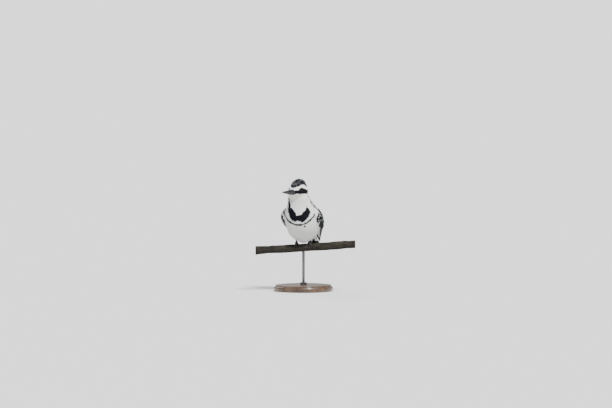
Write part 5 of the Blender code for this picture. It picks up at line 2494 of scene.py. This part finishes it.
@dataclass
class Perch:
    """The cut branch: furrowed bark with knots and scales, and sawn ends."""

    pose: Pose
    voxel: float = 0.8
    furrow: float = 0.55
    lump: float = 0.35
    knots: tuple[Triple, ...] = (  # place across, angle round the branch and size
        (-66.0, 60.0, 4.6), (47.0, 215.0, 5.2), (88.0, 75.0, 3.8), (-38.0, 305.0, 3.6),
    )
    scale_count: float = 50000.0  # for each square metre
    scale_size: float = 0.0008

    def build(self) -> None:
        """Makes the branch and its scales."""
        branch = remeshed(merged_copy("branch", ("perch",)), self.voxel, 3)
        points, normals = points_of(branch.data), normals_of(branch.data)
        off = points - perch_axis(self.pose, points[:, 0])
        side = 1.0 - ease(0.75, 0.92, np.abs(normals[:, 0]))
        high = self.relief(points, np.degrees(np.arctan2(off[:, 2], off[:, 1])))
        set_points(branch.data, points + normals * (high * side)[:, None])
        set_values(branch.data, "ridge", ease(-0.45, 0.25, high))
        set_values(branch.data, "cut", 1.0 - side)
        set_values(branch.data, "ring", np.hypot(off[:, 1], off[:, 2]))
        scaly = side * (ease(20.0, 28.0, np.abs(points[:, 0])) + ease(0.0, -0.5, normals[:, 2]))
        set_values(branch.data, "scaly", scaly)
        self.build_scales(branch)
        show(branch, "bark", BarkFinish().material(), "perch")

    def relief(self, points: Array, turn: Array) -> Array:
        """Height of the bark: lumps, furrows and knots.

        Args:
            points: Places on the branch.
            turn: Angle of each round the branch in degrees.

        Returns:
            The heights.
        """
        long_way = points * (0.16, 1.0, 1.0)
        fine = Wobble(1.5, 41)(long_way) + 0.5 * Wobble(0.8, 42)(points * (0.3, 1.0, 1.0))
        cracks = np.exp(-((Wobble(3.0, 43)(long_way) / 0.20) ** 2))
        high = self.lump * Wobble(9.0, 44)(points * (0.4, 1.0, 1.0)) + 0.14 * fine - self.furrow * cracks
        for x, angle, size in self.knots:
            around = np.radians((turn - angle + 180.0) % 360.0 - 180.0) * self.pose.perch_radius
            away = np.hypot((points[:, 0] - x) / 1.3, around)
            high = high + 1.5 * np.exp(-((away / size) ** 2)) - 1.6 * np.exp(-((away / (0.42 * size)) ** 2))
            high = high + 0.18 * np.sin(away * 3.2) * np.exp(-((away / (1.3 * size)) ** 2))
        near_feet = 1.0 - ease(20.0, 30.0, np.abs(points[:, 0]))
        return high * (1.0 - 0.45 * near_feet) - 0.15 * near_feet

    def build_scales(self, branch: Object) -> None:
        """Makes the loose scales that lie on the bark."""
        tree = GeometryTree("BarkScales", Density="Float", Size="Float", Seed="Int")
        given = tree.given
        scaly = tree.add("GeometryNodeInputNamedAttribute", {"Name": "scaly"}, data_type="FLOAT").outputs[0]
        density = tree.times(scaly, given["Density"])
        spots = {"Mesh": given["Geometry"], "Density": density, "Seed": given["Seed"]}
        spread = tree.add("GeometryNodeDistributePointsOnFaces", spots).outputs
        ball = tree.add("GeometryNodeMeshIcoSphere", {"Radius": 1.0, "Subdivisions": 1})
        flat = tree.add("GeometryNodeTransform", {"Geometry": ball.outputs[0], "Scale": (1.5, 0.75, 0.22)})
        sizes = {2: 0.35, 3: 1.0, "Seed": given["Seed"]}
        size = tree.add("FunctionNodeRandomValue", sizes, data_type="FLOAT")
        sized = tree.times(size.outputs[1], given["Size"])
        tree.repeat(flat.outputs[0], spread["Points"], Rotation=spread["Rotation"], Scale=sized)
        finish = FlakeFinish().material()
        values = {"Density": self.scale_count, "Size": self.scale_size, "Seed": 4, "Material": finish}
        show(tree.grown_on("bark_scales", branch, **values), "bark", finish)


@dataclass(frozen=True)
class WoodFinish(Finish):
    """Dark turned hardwood under a satin varnish."""

    name: str = "turned_wood"

    def paint(self, graph: Paint) -> None:
        """Draws the finish."""
        place = graph.place()
        pores = graph.noise(graph.stretched(place, (90.0, 1500.0, 900.0)), 1.0, 3.0, 0.7)
        board = {0: graph.stretched(place, (9.0, 130.0, 60.0)), 1: graph.noise(place, 9.0, 2.0)}
        figure = graph.noise(graph.add("VectorMath", board, operation="ADD").outputs[0], 1.0, 5.0, 0.55)
        browns = (0.28, (0.030, 0.015, 0.008)), (0.50, (0.085, 0.043, 0.021)), (0.72, (0.150, 0.082, 0.042))
        open_pores = graph.ramp(pores, (0.36, 0.35), (0.50, 1.0))
        wood = graph.mixed(1.0, graph.ramp(figure, *browns), open_pores, "MULTIPLY")
        rough = graph.ramp(figure, (0.3, 0.42), (0.7, 0.30))
        graph.wear(wood, rough, relief=(pores, 0.18, 0.0002), Coat_Weight=0.35, Coat_Roughness=0.16)


@dataclass(frozen=True)
class SteelFinish(Finish):
    """Drawn steel with fine lines round or along it and faint smears."""

    name: str
    stretch: Triple

    def paint(self, graph: Paint) -> None:
        """Draws the finish."""
        place = graph.place()
        lines = graph.noise(graph.stretched(place, self.stretch), 1.0, 4.0, 0.6)
        tint = graph.ramp(lines, (0.3, (0.10, 0.10, 0.105)), (0.7, (0.20, 0.20, 0.21)))
        smear = graph.ramp(graph.noise(place, 120.0, 3.0), (0.3, 0.22), (0.75, 0.42))
        graph.wear(tint, smear, relief=(lines, 0.12, 0.0001), Metallic=1.0)


def turned(name: str, profile: list[Triple], segments: int) -> Object:
    """A piece turned about the stand's upright, with sharp edges.

    Args:
        name: Name of the piece.
        profile: Radius and height of each corner, from pole to pole, and how far it is rounded.
        segments: Number of faces round it.

    Returns:
        The object.
    """
    corners = rounded([corner[:2] for corner in profile], [corner[2] for corner in profile])
    piece = lathed(name, corners, Axes(np.zeros(3), np.eye(3)), segments)
    piece.data.set_sharp_from_angle(angle=radians(38.0))
    return piece


def reach_of(node: str) -> Triple:
    """Radius, bottom and top of an upright CAD node in millimetres."""
    low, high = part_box(node)
    return high.x / MM, low.z / MM, high.z / MM


@dataclass
class Stand:
    """The display stand: turned base, ribbed collar and rod."""

    ledge: float = 3.4  # from the base's rim to its raised middle
    into_base: float = 0.35
    ribs: int = 40
    rib_height: float = 0.35
    rib_width: float = 0.55

    def build(self) -> None:
        """Makes the base, the collar and the rod."""
        radius, _, height = reach_of("stand_base")
        step = radius - self.ledge
        profile = [
            (0.0, 0.0, 0.0), (radius - 1.6, 0.0, 0.5), (radius - 1.2, 0.8, 0.4), (radius, 2.4, 1.1),
            (radius, height - 5.0, 1.6), (radius - 1.5, height - 3.2, 0.5), (step + 0.3, height - 2.9, 0.15),
            (step + 0.3, height - 2.2, 0.3), (step - 0.2, height, 1.0), (step - 6.0, height, 0.15),
            (step - 6.4, height - 0.45, 0.15), (step - 7.4, height - 0.45, 0.15), (step - 7.8, height, 0.15),
            (0.0, height, 0.0),
        ]
        show(turned("plinth", profile, 192), "stand_wood", WoodFinish().material(), "stand_base")
        self.build_collar(SteelFinish("turned_steel", (90.0, 90.0, 4200.0)).material())
        radius, bottom, top = reach_of("stand_rod")
        bottom -= self.into_base
        profile = [(0.0, bottom, 0.0), (radius, bottom, 0.2), (radius, top, 0.3), (0.0, top, 0.0)]
        rod = turned("rod", profile, 64)
        show(rod, "stand_steel", SteelFinish("drawn_steel", (2600.0, 2600.0, 60.0)).material(), "stand_rod")

    def build_collar(self, finish: Material) -> None:
        """Makes the collar, with ribs to grip it by."""
        radius, bottom, top = reach_of("stand_collar")
        inner = radius - self.rib_height
        profile = [
            (0.0, bottom, 0.0), (radius, bottom, 0.25), (radius, bottom + 0.8, 0.1),
            (inner, bottom + 1.0, 0.1), (inner, top - 1.0, 0.1), (radius, top - 0.8, 0.1),
            (radius, top, 0.4), (radius - 3.6, top, 0.0), (0.0, top, 0.0),
        ]
        collar = turned("collar", profile, 96)
        show(collar, "stand_steel", finish, "stand_collar")
        sizes = {"Radius": inner + 0.02, "Height": top - bottom - 2.2, "Middle": (bottom + top) / 2}
        sizes = {name: size * MM for name, size in {**sizes, "Width": self.rib_width}.items()}
        tree = GeometryTree("CollarRibs", Count="Int", **dict.fromkeys(sizes, "Float"))
        given = tree.given
        circle = tree.add("GeometryNodeMeshCircle", {"Vertices": given["Count"], "Radius": given["Radius"]})
        lift = tree.add("CombineXYZ", {2: given["Middle"]})
        raised = tree.add("GeometryNodeTransform", {0: circle.outputs[0], "Translation": lift.outputs[0]})
        size = tree.add("CombineXYZ", {0: given["Width"], 1: given["Width"], 2: given["Height"]})
        rib = tree.add("GeometryNodeMeshCube", {"Size": size.outputs[0]})
        out = {"Vector": tree.add("GeometryNodeInputNormal").outputs[0]}
        facing = tree.add("FunctionNodeAlignRotationToVector", out, axis="X", pivot_axis="Z")
        tree.repeat(rib.outputs[0], raised.outputs[0], Rotation=facing.outputs[0])
        ribs = tree.grown_on("collar_ribs", collar, Count=self.ribs, Material=finish, **sizes)
        show(ribs, "stand_steel", finish)


# --- Studio ---


@dataclass(frozen=True)
class FloorFinish(Finish):
    """A pale floor with a fine grain."""

    name: str = "pale_floor"

    def paint(self, graph: Paint) -> None:
        """Draws the finish."""
        grain = graph.noise(graph.place(), 900.0, 3.0)
        graph.wear(graph.ramp(grain, (0.3, (0.73, 0.73, 0.72)), (0.7, (0.75, 0.75, 0.74))), 0.85)


@dataclass
class Studio:
    """Pale floor, soft lights and the camera."""

    lens: float = 400.0
    sensor: float = 36.0
    frame_width: float = 1.285  # metres across the picture at the bird
    look_at: Triple = (0.0053, 0.0, 0.183)
    camera_rise: float = 3.3
    floor_half: float = 200000.0
    sky: tuple = (0.93, 0.97, 1.0, 1.0)
    sky_strength: float = 0.62
    suns: tuple = (  # name, degrees from overhead, degrees round, strength, apparent size in degrees
        ("key", 36.0, 32.0, 5.7, 12.0),
        ("fill", 60.0, -55.0, 0.6, 50.0),
        ("rim", -50.0, 25.0, 1.1, 30.0),
        ("sparkle", 65.0, 58.0, 0.5, 5.0),
    )

    def build(self) -> None:
        """Makes the floor, the lights and the camera."""
        corners = np.array([(-1, -1, 0), (1, -1, 0), (1, 1, 0), (-1, 1, 0)]) * self.floor_half
        floor = mesh_object("floor", corners, np.array([(0, 1, 2), (0, 2, 3)]))
        floor.data.materials.append(FloorFinish().material())
        world = bpy.data.worlds.new("studio")
        world.use_nodes = True
        sky = world.node_tree.nodes["Background"]
        Graph(world.node_tree).feed(sky, {"Color": self.sky, "Strength": self.sky_strength})
        bpy.context.scene.world = world
        for name, tilt, turn, strength, size in self.suns:
            light = bpy.data.lights.new(name, "SUN")
            light.energy = strength
            light.angle = radians(size)
            linked(name, light).rotation_euler = (radians(tilt), 0.0, radians(turn))
        self.build_camera()

    def build_camera(self) -> None:
        """Makes the camera, far off with a long lens."""
        camera = bpy.data.cameras.new("camera")
        camera.lens, camera.sensor_width = self.lens, self.sensor
        camera.clip_end = 1000.0
        holder = linked("camera", camera)
        rise = radians(self.camera_rise)
        away = self.frame_width * self.lens / self.sensor
        holder.location = Vector(self.look_at) + away * Vector((0.0, -cos(rise), sin(rise)))
        holder.rotation_euler = (pi / 2.0 - rise, 0.0, 0.0)
        bpy.context.scene.camera = holder


def main() -> None:
    """Builds every piece in order."""
    logging.basicConfig(level=logging.INFO, format="%(message)s")
    markings = Markings(Pose())
    skin = Skin(markings)
    skin.build()
    Coat(skin, markings).build()
    for side, sign in SIDES:
        Wing(side, sign, markings).build()
    Tail(markings).build()
    Eyes(markings).build()
    Bill(markings).build()
    Feet(markings.pose).build()
    Perch(markings.pose).build()
    Stand().build()
    Studio().build()


if __name__ == "__main__":
    main()
